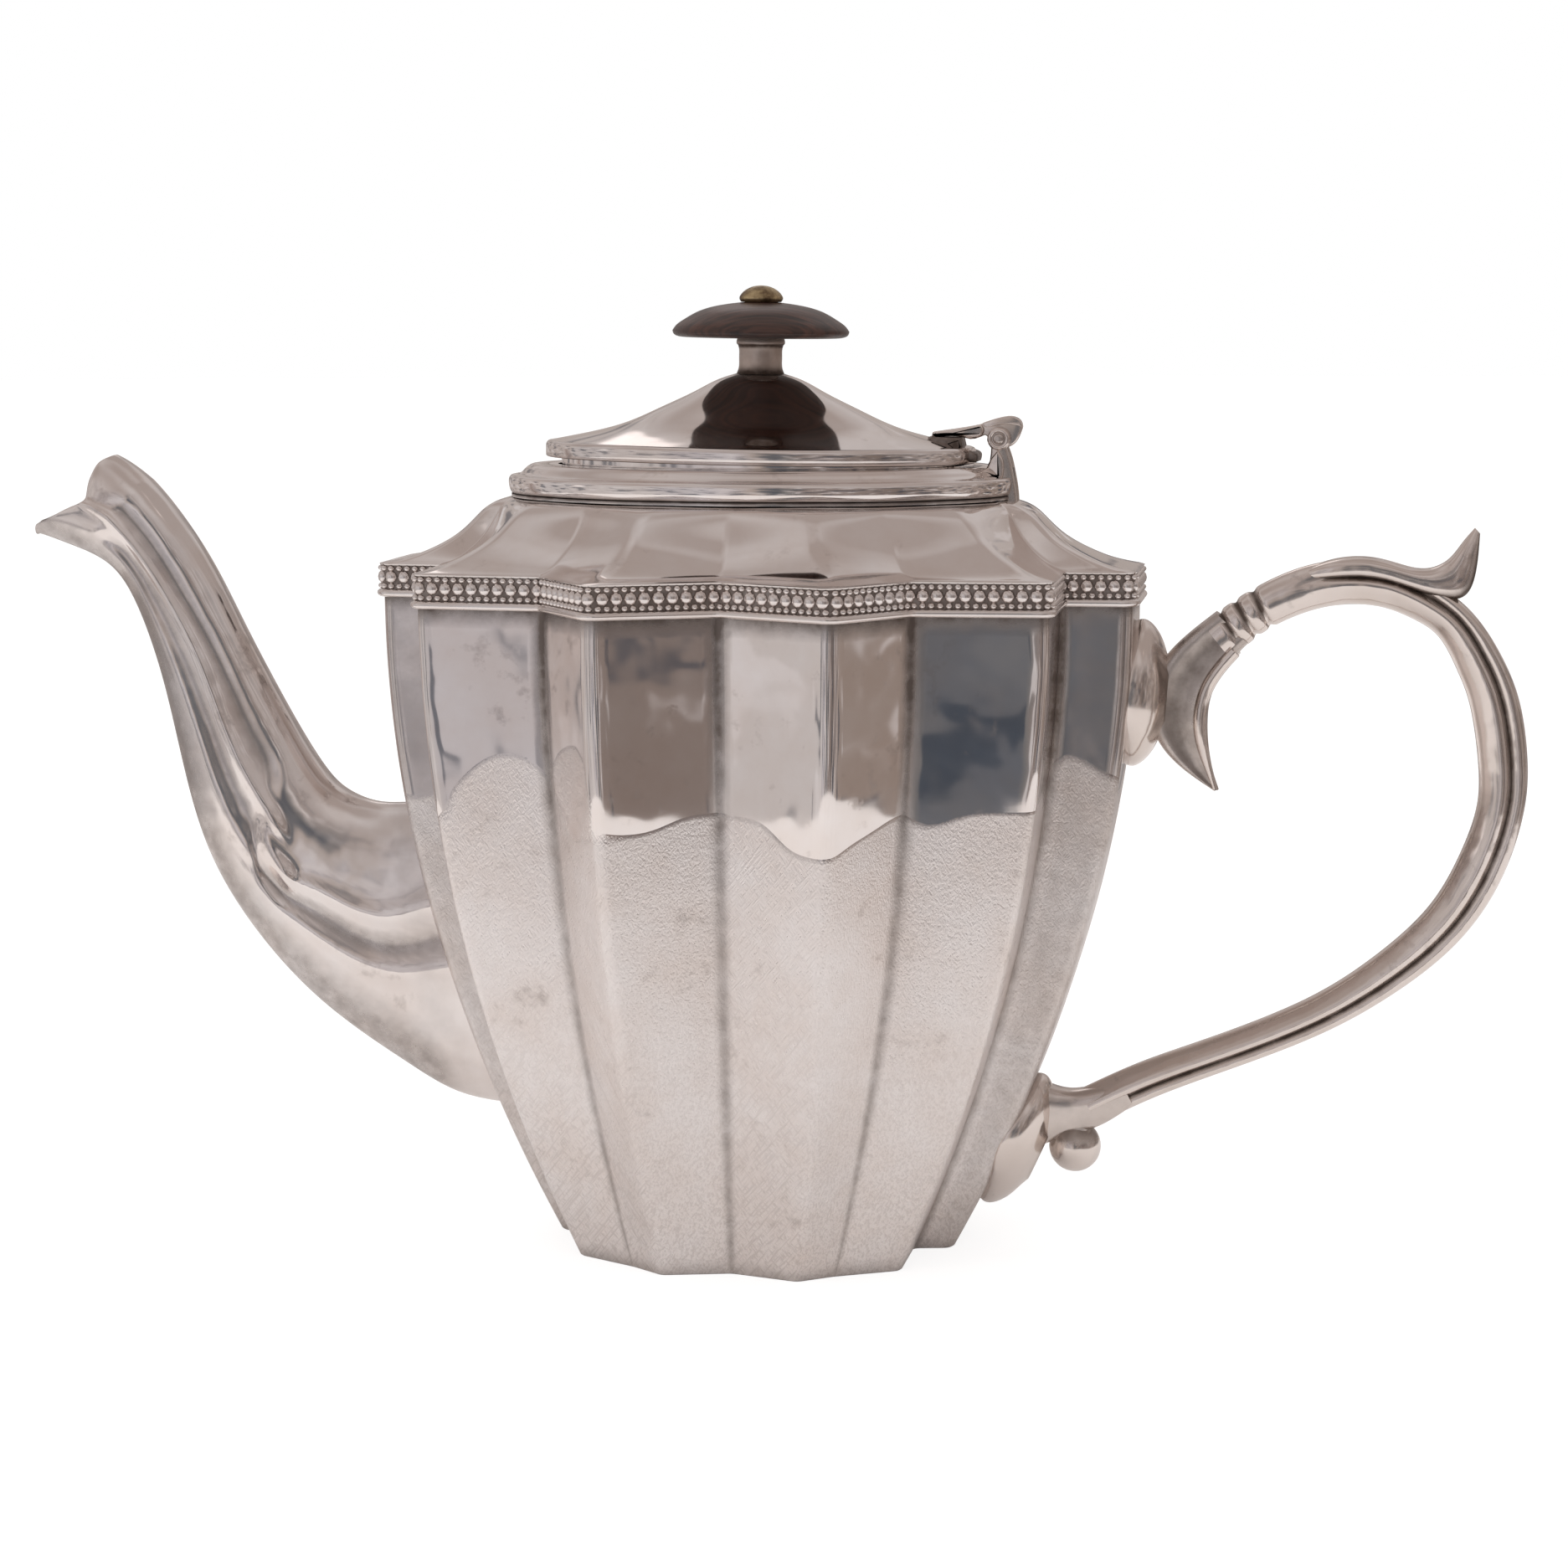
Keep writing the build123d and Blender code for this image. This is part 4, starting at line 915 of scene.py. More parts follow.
@dataclass
class Shoulder:
    """Domed cover from the scalloped rim to the neck, and the oval collar round the neck."""

    plan: Plan
    base: float = 123.3
    height: float = 12.3
    lip: float = 0.8
    sheet: float = 0.7
    # Dome's line: (share of the way to the collar, share of the height).
    profile: tuple = ((0.0, 0.0), (0.18, 0.07), (0.38, 0.22), (0.58, 0.45), (0.72, 0.71), (0.85, 0.91),
                      (1.0, 1.0))
    collar_length: float = 89.8
    collar_width: float = 56.0
    collar_height: float = 5.8
    # Collar's outside: (share of its height, millimetres outside its oval).
    collar_bulge: tuple = ((0.0, 0.5), (0.05, 0.55), (0.09, 0.2), (0.2, 0.75), (0.4, 1.0), (0.68, -0.6),
                           (0.89, -2.2), (1.0, -3.3))
    neck_inset: float = 6.26

    def section(self, share: np.ndarray, z: np.ndarray, inset: np.ndarray) -> np.ndarray:
        """Rows part of the way from the rim's plan to the collar's oval.

        A rim point at the turn t = atan2(y / b, x / a) moves by its share of the way towards the
        oval's point at the same t.

        Args:
            share: share of the way for each row.
            z: height of each row.
            inset: distance inwards of each row.

        Returns:
            Points, shape (rows, columns, 3).
        """
        rim = self.plan.loops(np.full(len(share), self.plan.rim_height), inset - self.lip)
        turn = np.arctan2(rim[..., 1] / self.plan.rim[4][1], rim[..., 0] / self.plan.rim[0][0])
        oval_x = (self.collar_length / 2 - inset[:, None]) * np.cos(turn)
        oval_y = (self.collar_width / 2 - inset[:, None]) * np.sin(turn)
        flat = rim[..., :2] + (np.stack([oval_x, oval_y], -1) - rim[..., :2]) * share[:, None, None]
        return np.concatenate([flat, np.broadcast_to(z[:, None, None], (*flat.shape[:2], 1))], -1)

    def cover(self, finish: bpy.types.Material) -> None:
        """Cover as a ring: lip, dome, flat neck, and the same line back along the inside.

        Args:
            finish: its material.
        """
        line = smooth(self.profile, 44)
        share, rise = line[:, 0], np.clip(line[:, 1], 0, 1)
        top = self.base + self.height
        outer_share = np.concatenate([[0.0, 0.0], share[1:], [1.0, 1.0]])
        outer_z = np.concatenate([[self.base, self.base + 0.25],
                                  self.base + 0.35 + rise[1:] * (self.height - 0.35),
                                  [top, top - self.sheet]])
        outer_inset = np.concatenate([[0.12, 0.0], np.zeros(len(share) - 1), [self.neck_inset] * 2])
        inner_share = share[::-3]
        inner_z = self.base - 0.2 + rise[::-3] * (self.height - 0.55)
        inner_inset = np.full(len(inner_share), self.sheet)
        inset = np.concatenate([outer_inset, inner_inset])
        share_rows = np.concatenate([outer_share, inner_share])
        z = np.concatenate([outer_z, inner_z])
        grid = self.section(share_rows, z, inset)
        live = ease(0.02, 0.2, share_rows) * (1 - ease(0.9, 1.0, share_rows))
        grid[..., 2] += hand_worked(grid, 0.14) * live[:, None]
        hollow = 0.85 * bell(share_rows - 1.0, 0.035) + 0.25 * bell(share_rows, 0.05)
        Skin.of_grid(grid, hollow[:, None], closed_rows=True).make(
            "shoulder_dome", Body.POT, "silver_plate", finish, ["shoulder_cover"])

    def collar(self, finish: bpy.types.Material) -> None:
        """Collar as a ring of ovals: rounded outside, a foot line below, and an upright neck inside.

        Args:
            finish: its material.
        """
        line = smooth(self.collar_bulge, 34)
        top = self.base + self.height + self.collar_height
        z = np.concatenate([self.base + self.height + line[:, 0] * self.collar_height,
                            [top, top - 0.15, self.base + self.height]])
        grow = np.concatenate([line[:, 1], [-self.neck_inset + 0.15, -self.neck_inset, -self.neck_inset]])
        grid = ovals(self.collar_length / 2 + grow, self.collar_width / 2 + grow, z)
        grid[..., 2] += hand_worked(grid, 0.05) * bell(grow - 0.5, 1.5)[:, None]
        low = bell(line[:, 0] - 0.09, 0.07) * 0.9
        hollow = np.concatenate([low, [0.4, 0.6, 0.8]])[:, None]
        Skin.of_grid(grid, hollow, closed_rows=True).make(
            "collar_moulding", Body.POT, "silver_plate", finish, ["neck_collar"])


@dataclass
class Lid:
    """Oval lid with a hollow-sided cone, and its knob: stem, wooden disc and domed cap."""

    length: float = 78.0
    width: float = 47.2
    bottom: float = 141.7
    rim: float = 2.9
    rise: float = 12.3
    sheet: float = 0.9
    fillet: float = 0.9
    cone: tuple = ((0.97, 0.0), (0.8, 0.1), (0.6, 0.25), (0.4, 0.49), (0.2, 0.76), (0.06, 0.95), (0.0, 1.0))
    stem_radius: float = 4.3
    stem_height: float = 6.4
    bore: float = 1.55
    disc_radius: float = 15.8
    disc_height: float = 6.4
    cap_radius: float = 3.9
    cap_height: float = 2.8
    tilt: float = 0.8
    hinge: tuple = (43.3, 146.2)

    @property
    def top(self) -> float:
        """Height of the lid's summit, before it is tilted open."""
        return self.bottom + self.rim + self.rise

    def shell(self, finish: bpy.types.Material) -> None:
        """Lid as a ring of ovals: up the rim, over its fillet, up the cone to the bore, and back inside.

        Args:
            finish: its material.
        """
        turn = np.linspace(0, math.pi / 2, 6)
        fillet = self.fillet
        shoulder = self.bottom + self.rim
        line = smooth(self.cone, 46)
        share = np.concatenate([[1.0] * (3 + len(turn)), line[:, 0], [0.0, 0.0]])
        grow = np.concatenate([[-self.sheet, -0.2, 0.0], -fillet * (1 - np.cos(turn)), np.zeros(len(line)),
                               [self.bore - self.stem_radius] * 2])
        z = np.concatenate([[self.bottom, self.bottom, self.bottom + 0.2],
                            shoulder - fillet + fillet * np.sin(turn),
                            shoulder + line[:, 1] * self.rise, [self.top, self.top - self.sheet]])
        inside = line[::-3]
        share = np.concatenate([share, inside[:, 0]])
        grow = np.concatenate([grow, np.full(len(inside), -self.sheet)])
        z = np.concatenate([z, shoulder + inside[:, 1] * self.rise - self.sheet])
        half_length = self.stem_radius + (self.length / 2 - self.stem_radius) * share + grow
        half_width = self.stem_radius + (self.width / 2 - self.stem_radius) * share + grow
        grid = ovals(half_length, half_width, z)
        live = ease(0.1, 0.4, share) * (1 - ease(0.9, 0.97, share))
        grid[..., 2] += hand_worked(grid, 0.08) * live[:, None]
        hollow = 0.8 * bell(share, 0.03) + 0.3 * bell(share - 0.985, 0.02)
        skin = Skin.of_grid(grid, hollow[:, None], closed_rows=True)
        self.finish(skin, "lid_dome", "silver_plate", finish, "lid_shell")

    def finish(self, skin: Skin, name: str, slot: str, material: bpy.types.Material, node: str) -> None:
        """Tilts a skin with the lid and makes its piece."""
        skin.turned(self.hinge, self.tilt).make(name, Body.LID, slot, material, [node])

    def stem(self, finish: bpy.types.Material) -> None:
        """Stem: a turned neck with a soft collar at its top.

        Args:
            finish: its material.
        """
        r, low, high = self.stem_radius, self.top - 0.05, self.top + self.stem_height
        side = smooth([(r, low), (r - 0.35, low + 0.9), (r - 0.45, low + 3.0), (r - 0.4, high - 1.9),
                       (r - 0.25, high - 1.35)], 18)
        bead = smooth([(r - 0.25, high - 1.35), (r, high - 1.1), (r + 0.02, high - 0.6),
                       (r - 0.15, high)], 10)[1:]
        profile = np.vstack([[(self.bore, low)], side, bead, [(self.bore, high)]])
        hollow = 0.35 + 0.5 * bell(profile[:, 1] - low, 1.0) + 0.6 * bell(profile[:, 1] - high + 1.4, 0.35)
        self.finish(lathe(profile, hollow=hollow), "knob_neck", "worn_silver", finish, "knob_stem")

    def disc(self, finish: bpy.types.Material) -> None:
        """Disc: flat below, a rounded edge, and a low dome above.

        Args:
            finish: its wood.
        """
        r, low = self.disc_radius, self.top + self.stem_height
        under = smooth([(r - 2.6, low), (r - 1.0, low + 0.12), (r - 0.2, low + 0.55), (r, low + 1.15)], 12)
        over = smooth([(r, low + 1.15), (r - 0.5, low + 1.9), (r - 1.9, low + 3.0), (r * 0.72, low + 4.45),
                       (r * 0.45, low + 5.7), (self.bore, low + self.disc_height)], 34)[1:]
        profile = np.vstack([[(self.bore, low)], under, over])
        self.finish(lathe(profile, 128), "knob_wood", "rosewood", finish, "knob_disc")

    def cap(self, finish: bpy.types.Material) -> None:
        """Cap: a small dome with a rounded foot over the stud.

        Args:
            finish: its brass.
        """
        r, low = self.cap_radius, self.top + self.stem_height + self.disc_height - 0.12
        tip = low + self.cap_height + 0.12
        dome = smooth([(r - 0.35, low), (r, low + 0.6), (r * 0.93, low + 1.3), (r * 0.66, low + 2.25),
                       (r * 0.3, tip - 0.12), (0.05, tip)], 26)
        profile = np.vstack([dome, [(0.05, low + 1.68), (self.bore, low + 1.68), (self.bore, low)]])
        self.finish(lathe(profile, 64), "knob_button", "cap_brass", finish, "knob_cap")


@dataclass
class Hinge:
    """Hinge at the handle end of the neck: a leaf-faced fork on the pot, and the lid's strap and saddle."""

    x: float = 43.3
    z: float = 146.2
    foot: float = 131.6
    post_half: float = 2.8
    slot_half: float = 1.35
    knuckle: float = 2.1           # radius of the cheeks round the pin
    strap_half: float = 1.2
    hood_half: float = 1.25        # swings down into the slot as the lid opens
    arm_half: float = 2.2
    saddle_x: float = 34.4
    step_half: float = 4.5         # half width of the saddle's lower step
    lid_foot: float = 141.7
    tilt: float = 0.8

    def cheek(self, side: Side) -> Skin:
        """One cheek of the fork: a knuckle, a waist, and a column down to the cover.

        Args:
            side: which of the two.

        Returns:
            The cheek's skin.
        """
        x, z = self.x, self.z
        knuckle = [(x + self.knuckle * math.cos(a), z + self.knuckle * math.sin(a))
                   for a in np.radians(np.arange(-50, 231, 35))]
        line = outline(knuckle,
                       [knuckle[-1], (x - 1.5, z - 3.4), (x - 2.0, z - 6.0), (x - 1.9, z - 8.6),
                        (x - 1.3, self.foot)],
                       [(x - 1.3, self.foot), (x + 3.3, self.foot)],
                       [(x + 3.3, self.foot), (x + 3.1, z - 9.0), (x + 2.5, z - 5.6), (x + 1.8, z - 2.8),
                        knuckle[0]])
        half = (self.post_half - self.slot_half) / 2
        middle = side.value * (self.post_half + self.slot_half) / 2
        return plate(line, half, 0.45, middle=middle, hollow=0.25)

    def leaf(self, side: Side) -> Skin:
        """Pointed leaf raised on the face of a cheek, with its rib down the middle.

        Args:
            side: the cheek it lies on.

        Returns:
            The leaf's skin.
        """
        x, z = self.x - 0.1, self.z
        top, tip = (x, z - 1.9), (x + 0.5, z - 10.6)
        line = outline([top, (x - 1.3, z - 3.6), (x - 2.0, z - 6.2), (x - 0.9, z - 8.4), tip],
                       [tip, (x + 0.7, z - 8.0), (x + 1.1, z - 5.6), (x + 0.9, z - 3.4), top])
        return plate(line, 0.7, 0.55, middle=side.value * (self.post_half - 0.15))

    def eye(self, side: Side) -> Skin:
        """Raised ring round the pin's end, and the pin's end riveted over in it.

        Args:
            side: the cheek it lies on.

        Returns:
            The ring and the rivet in one skin.
        """
        turn = np.linspace(0, 2 * math.pi, 40, endpoint=False)
        bead = np.linspace(0, 2 * math.pi, 10, endpoint=False)
        radius = 1.55 + 0.42 * np.cos(bead)
        grid = np.stack([self.x + radius[None] * np.cos(turn)[:, None],
                         side.value * (self.post_half + 0.02) + 0.42 * np.sin(bead)[None] + 0 * turn[:, None],
                         self.z + radius[None] * np.sin(turn)[:, None]], -1)
        out = side.value * (self.post_half + np.array([-0.3, 0.12, 0.3, 0.38]))
        round_end = np.array([1.0, 1.0, 0.8, 0.3])
        rivet = np.stack([self.x + round_end[:, None] * np.cos(turn), np.broadcast_to(out[:, None], (4, 40)),
                          self.z + round_end[:, None] * np.sin(turn)], -1)
        return Skin.of_grid(grid, closed_rows=True) + Skin.of_grid(rivet, np.full((4, 40), 0.3))

    def post(self, finish: bpy.types.Material) -> None:
        """Fork: two cheeks, the web that joins them below the slot, and the foot on the cover.

        Args:
            finish: its material.
        """
        web = outline([(self.x - 1.7, self.z - 5.2), (self.x - 1.3, self.foot)],
                      [(self.x - 1.3, self.foot), (self.x + 3.2, self.foot)],
                      [(self.x + 3.2, self.foot), (self.x + 2.4, self.z - 5.2)],
                      [(self.x + 2.4, self.z - 5.2), (self.x - 1.7, self.z - 5.2)], per_run=8)
        skin = plate(web, self.slot_half + 0.2, 0.2, hollow=0.8)
        for side in Side:
            skin = skin + self.cheek(side) + self.leaf(side) + self.eye(side)
        skin.make("hinge_fork", Body.POT, "cast_silver", finish, ["hinge_post"])

    def strap(self, finish: bpy.types.Material) -> None:
        """Strap: an arm up from the saddle, wide at first, and a hooked tail over the pin.

        Args:
            finish: its material.
        """
        x, z, heel = self.x, self.z, self.saddle_x
        low = self.lid_foot + 4.6
        top_line = [(heel - 3.0, low + 0.8), (heel + 1.6, low + 1.5), (x - 4.4, z + 2.2), (x - 1.8, z + 3.1),
                    (x + 0.8, z + 3.85), (x + 2.6, z + 3.8), (x + 3.6, z + 3.1), (x + 3.95, z + 2.0)]
        tail = [(x + 3.95, z + 2.0), (x + 3.3, z + 0.2), (x + 2.3, z - 1.1), (x + 1.2, z - 1.6)]
        under = [(x + 1.2, z - 1.6), (x, z - 1.9), (x - 1.2, z - 1.45), (x - 1.8, z - 0.6)]
        belly = [(x - 1.8, z - 0.6), (x - 2.3, z + 0.5), (x - 4.8, z - 0.2), (heel + 2.4, low + 0.05),
                 (heel - 3.0, low)]
        side = outline(top_line, tail, under, belly, [(heel - 3.0, low), (heel - 3.0, low + 0.8)])
        skin = plate(side, self.strap_half, 0.35)
        arm = outline([(heel - 3.0, low + 0.85), (heel + 1.6, low + 1.6), (x - 4.4, z + 2.25),
                       (x - 3.2, z + 2.55)],
                      [(x - 3.2, z + 2.55), (x - 2.75, z + 1.4), (x - 3.0, z + 0.4)],
                      [(x - 3.0, z + 0.4), (x - 4.8, z - 0.15), (heel + 2.4, low + 0.02),
                       (heel - 3.0, low - 0.05)],
                      [(heel - 3.0, low - 0.05), (heel - 3.0, low + 0.85)])
        skin = skin + plate(arm, self.arm_half, 0.6)
        hood = outline([(x - 3.0, z + 2.75), (x + 0.6, z + 3.85), (x + 2.6, z + 3.85), (x + 3.7, z + 3.1),
                        (x + 3.95, z + 2.1)],
                       [(x + 3.95, z + 2.1), (x + 2.9, z + 2.35), (x + 0.4, z + 2.45), (x - 3.0, z + 2.35),
                        (x - 3.0, z + 2.75)])
        skin = skin + plate(hood, self.hood_half, 0.25)
        skin.turned((x, z), self.tilt).make(
            "strap_hooked", Body.LID, "cast_silver", finish, ["hinge_strap"])

    def saddle(self, finish: bpy.types.Material) -> None:
        """Two-step block with rounded edges that carries the strap on the lid.

        Args:
            finish: its material.
        """
        x, low = self.saddle_x, self.lid_foot + 0.4
        back = x - 3.6
        lower = outline([(back, low), (x + 5.1, low)],
                        [(x + 5.1, low), (x + 5.2, low + 1.3), (x + 3.9, low + 2.0)],
                        [(x + 3.9, low + 2.0), (back, low + 2.2)],
                        [(back, low + 2.2), (back, low)], per_run=10)
        upper = outline([(back, low + 1.6), (x + 2.8, low + 1.6)],
                        [(x + 2.8, low + 1.6), (x + 2.5, low + 3.0), (x + 2.2, low + 4.2)],
                        [(x + 2.2, low + 4.2), (back, low + 4.25)],
                        [(back, low + 4.25), (back, low + 1.6)], per_run=10)
        skin = (plate(lower, self.step_half, 0.5, hollow=0.75)
                + plate(upper, self.step_half - 1.0, 0.5, hollow=0.75))
        skin.turned((self.x, self.z), self.tilt).make(
            "saddle_steps", Body.LID, "cast_silver", finish, ["strap_saddle"])


@dataclass
class Swell:
    """A ridge (height above 0) or a channel (below 0) that follows a line over the spout's side."""

    line: tuple                    # (station, place across) of its knots
    width: float
    height: float
    fade: float = 0.7              # stations over which it dies out at each end

    def at(self, station: np.ndarray, across: np.ndarray) -> np.ndarray:
        """Height times a bell of the distance across from the line, faded at the line's ends.

        Args:
            station: places along the spout, shape (rows,).
            across: places across it, shape (columns,).

        Returns:
            Height over the spout's side, shape (rows, columns).
        """
        knots = np.array(sorted(self.line))
        inside = np.clip(station, knots[0, 0], knots[-1, 0])
        middle = through(knots[:, 0], knots[:, 1:2], inside)[:, 0]
        live = ease(knots[0, 0] - self.fade, knots[0, 0], station) * (
            1 - ease(knots[-1, 0], knots[-1, 0] + self.fade, station))
        return self.height * live[:, None] * bell(across[None] - middle[:, None], self.width)


@dataclass
class Spout:
    """Swan-neck spout of two pressed halves, with ridges and channels down its sides and a beaked mouth."""

    sheet: float = 0.9
    stations: tuple = (
        ((-58.0, 78.6), (-42.0, 21.6), 8.0), ((-67.0, 78.3), (-56.0, 23.2), 8.2),
        ((-73.2, 78.4), (-67.5, 29.0), 8.4), ((-79.0, 80.7), (-83.0, 39.6), 8.4),
        ((-83.4, 85.2), (-96.4, 53.6), 8.2), ((-88.0, 92.6), (-105.4, 69.0), 7.6),
        ((-92.4, 100.6), (-110.2, 86.2), 6.8), ((-97.6, 110.6), (-113.6, 101.4), 6.2),
        ((-103.4, 122.0), (-118.0, 114.4), 6.0), ((-110.0, 132.0), (-123.0, 121.8), 6.2),
        ((-117.2, 139.8), (-130.0, 125.4), 6.4), ((-124.6, 143.6), (-138.2, 129.2), 6.6))
    # Mouth seen from the side: (place across, x, z) from the hood's top by the notch to the beak's tip.
    mouth: tuple = ((1.0, -121.4, 142.2), (0.93, -123.2, 141.4), (0.8, -124.6, 139.8), (0.6, -125.5, 137.0),
                    (0.4, -125.6, 134.6), (0.22, -125.9, 133.0), (0.0, -128.2, 132.3), (-0.35, -131.8, 131.2),
                    (-0.75, -135.6, 129.8), (-0.93, -137.2, 128.6), (-1.0, -137.5, 127.4))
    swells: tuple = (
        Swell(((11.0, 0.2), (10.0, 0.05), (8.9, -0.1), (7.9, -0.06), (7.0, 0.08), (6.0, 0.12), (5.0, 0.2),
               (4.4, 0.24)), 0.09, 0.13),
        Swell(((9.4, 0.3), (8.0, 0.28), (7.0, 0.4), (6.0, 0.46), (5.0, 0.52)), 0.17, -0.11),
        Swell(((9.0, -0.35), (8.0, -0.34), (6.8, -0.2), (5.6, -0.1), (4.9, -0.06)), 0.15, -0.12),
        Swell(((8.9, -0.6), (7.8, -0.6), (6.6, -0.47), (5.4, -0.36), (4.6, -0.32)), 0.1, 0.07),
        Swell(((4.25, 0.0), (4.0, -0.03), (3.75, -0.05)), 0.14, 0.1, 0.3),
        Swell(((4.5, -0.08), (4.05, -0.3), (3.7, -0.28)), 0.09, -0.07, 0.3),
        Swell(((3.6, -0.06), (3.2, 0.06), (2.4, 0.15), (1.4, 0.27), (0.2, 0.42)), 0.085, 0.12),
        Swell(((3.7, -0.26), (3.1, -0.12), (2.3, -0.06), (1.5, 0.03), (0.2, 0.2)), 0.12, -0.15),
        Swell(((3.8, -0.42), (3.2, -0.34), (2.5, -0.29), (1.6, -0.16), (0.2, 0.0)), 0.09, 0.09),
        Swell(((4.3, -0.52), (3.5, -0.62), (3.0, -0.7), (2.2, -0.66), (0.6, -0.72)), 0.09, 0.07))
    mouth_from: float = 9.7        # station from which the sections turn into the mouth's line
    rows: int = 170
    half_around: int = 72

    def half(self, side: Side) -> Skin:
        """One half: sections from the body to the mouth, out over the side and back inside the sheet.

        A section runs from its upper to its lower edge, and at the place a across, from -1 to 1, its
        half width is w (1 - a^2)^0.41 plus the swells. Past mouth_from the last section runs straight
        to the mouth's line.

        Args:
            side: which of the two.

        Returns:
            The half's skin.
        """
        values = np.array([(*upper, *lower, w) for upper, lower, w in self.stations])
        station = np.linspace(0, 11, self.rows)
        s = through(np.arange(12.0), values, station)
        turn = np.linspace(0, math.pi, self.half_around)
        across = np.cos(turn)
        middle, reach = (s[:, 0:2] + s[:, 2:4]) / 2, (s[:, 0:2] - s[:, 2:4]) / 2
        rounded = np.sin(turn) ** 0.82
        swell = sum(sw.at(station, across) for sw in self.swells) * np.clip(rounded * 3, 0, 1)[None]
        mouth = np.array(self.mouth)[::-1]
        lip = through(mouth[:, 0], mouth[:, 1:], across)
        s[station > self.mouth_from] = through(np.arange(12.0), values, np.array([self.mouth_from]))
        late = np.clip((station - self.mouth_from) / (11 - self.mouth_from), 0, 1)[:, None, None]
        wide = s[:, 4:5] * (rounded[None] + 0.75 * swell) * (1 - 0.22 * late[..., 0])
        shells = []
        for inset in (0.0, self.sheet):
            shrink = (1 - inset / np.linalg.norm(reach, axis=1))[:, None, None]
            flat = middle[:, None] + reach[:, None] * across[None, :, None] * shrink
            end = lip + unit(s[-1, 2:4] - s[-1, 0:2])[None] * (inset * across)[:, None]
            flat = flat * (1 - late) + end[None] * late
            y = side.value * np.maximum(wide - inset, 0)
            shells.append(np.stack([flat[..., 0], y, flat[..., 1]], -1))
        grid = np.concatenate([shells[0], shells[1][:, ::-1]], 1)
        channels = np.clip(-swell * 3.4, 0, 0.5)
        # Painted shade: the lower part of each section darkened, from just past the root out to the mouth.
        under = 0.5 * (ease(0.25, 0.8, -across)[None] * ease(0.5, 1.5, station)[:, None])
        root = 0.2 * bell(np.minimum(station - 1.0, 0.8), 0.6)[:, None]
        seam = 0.35 * bell(1 - np.abs(across), 0.006)[None]
        outer = np.maximum(np.maximum(channels, seam), np.maximum(root, under))
        # The inside of the sheet darkened evenly towards the tarnish colour.
        hollow = np.concatenate([outer, np.full_like(outer, 0.7)], 1)
        return Skin.of_grid(grid, hollow, strip=True)

    def make(self, finish: bpy.types.Material) -> None:
        """Makes both halves.

        Args:
            finish: their material.
        """
        for side in Side:
            node = f"spout_{side.name.lower()}_half"
            self.half(side).make(f"spout_{side.name.lower()}_side", Body.POT, "silver_plate", finish, [node])


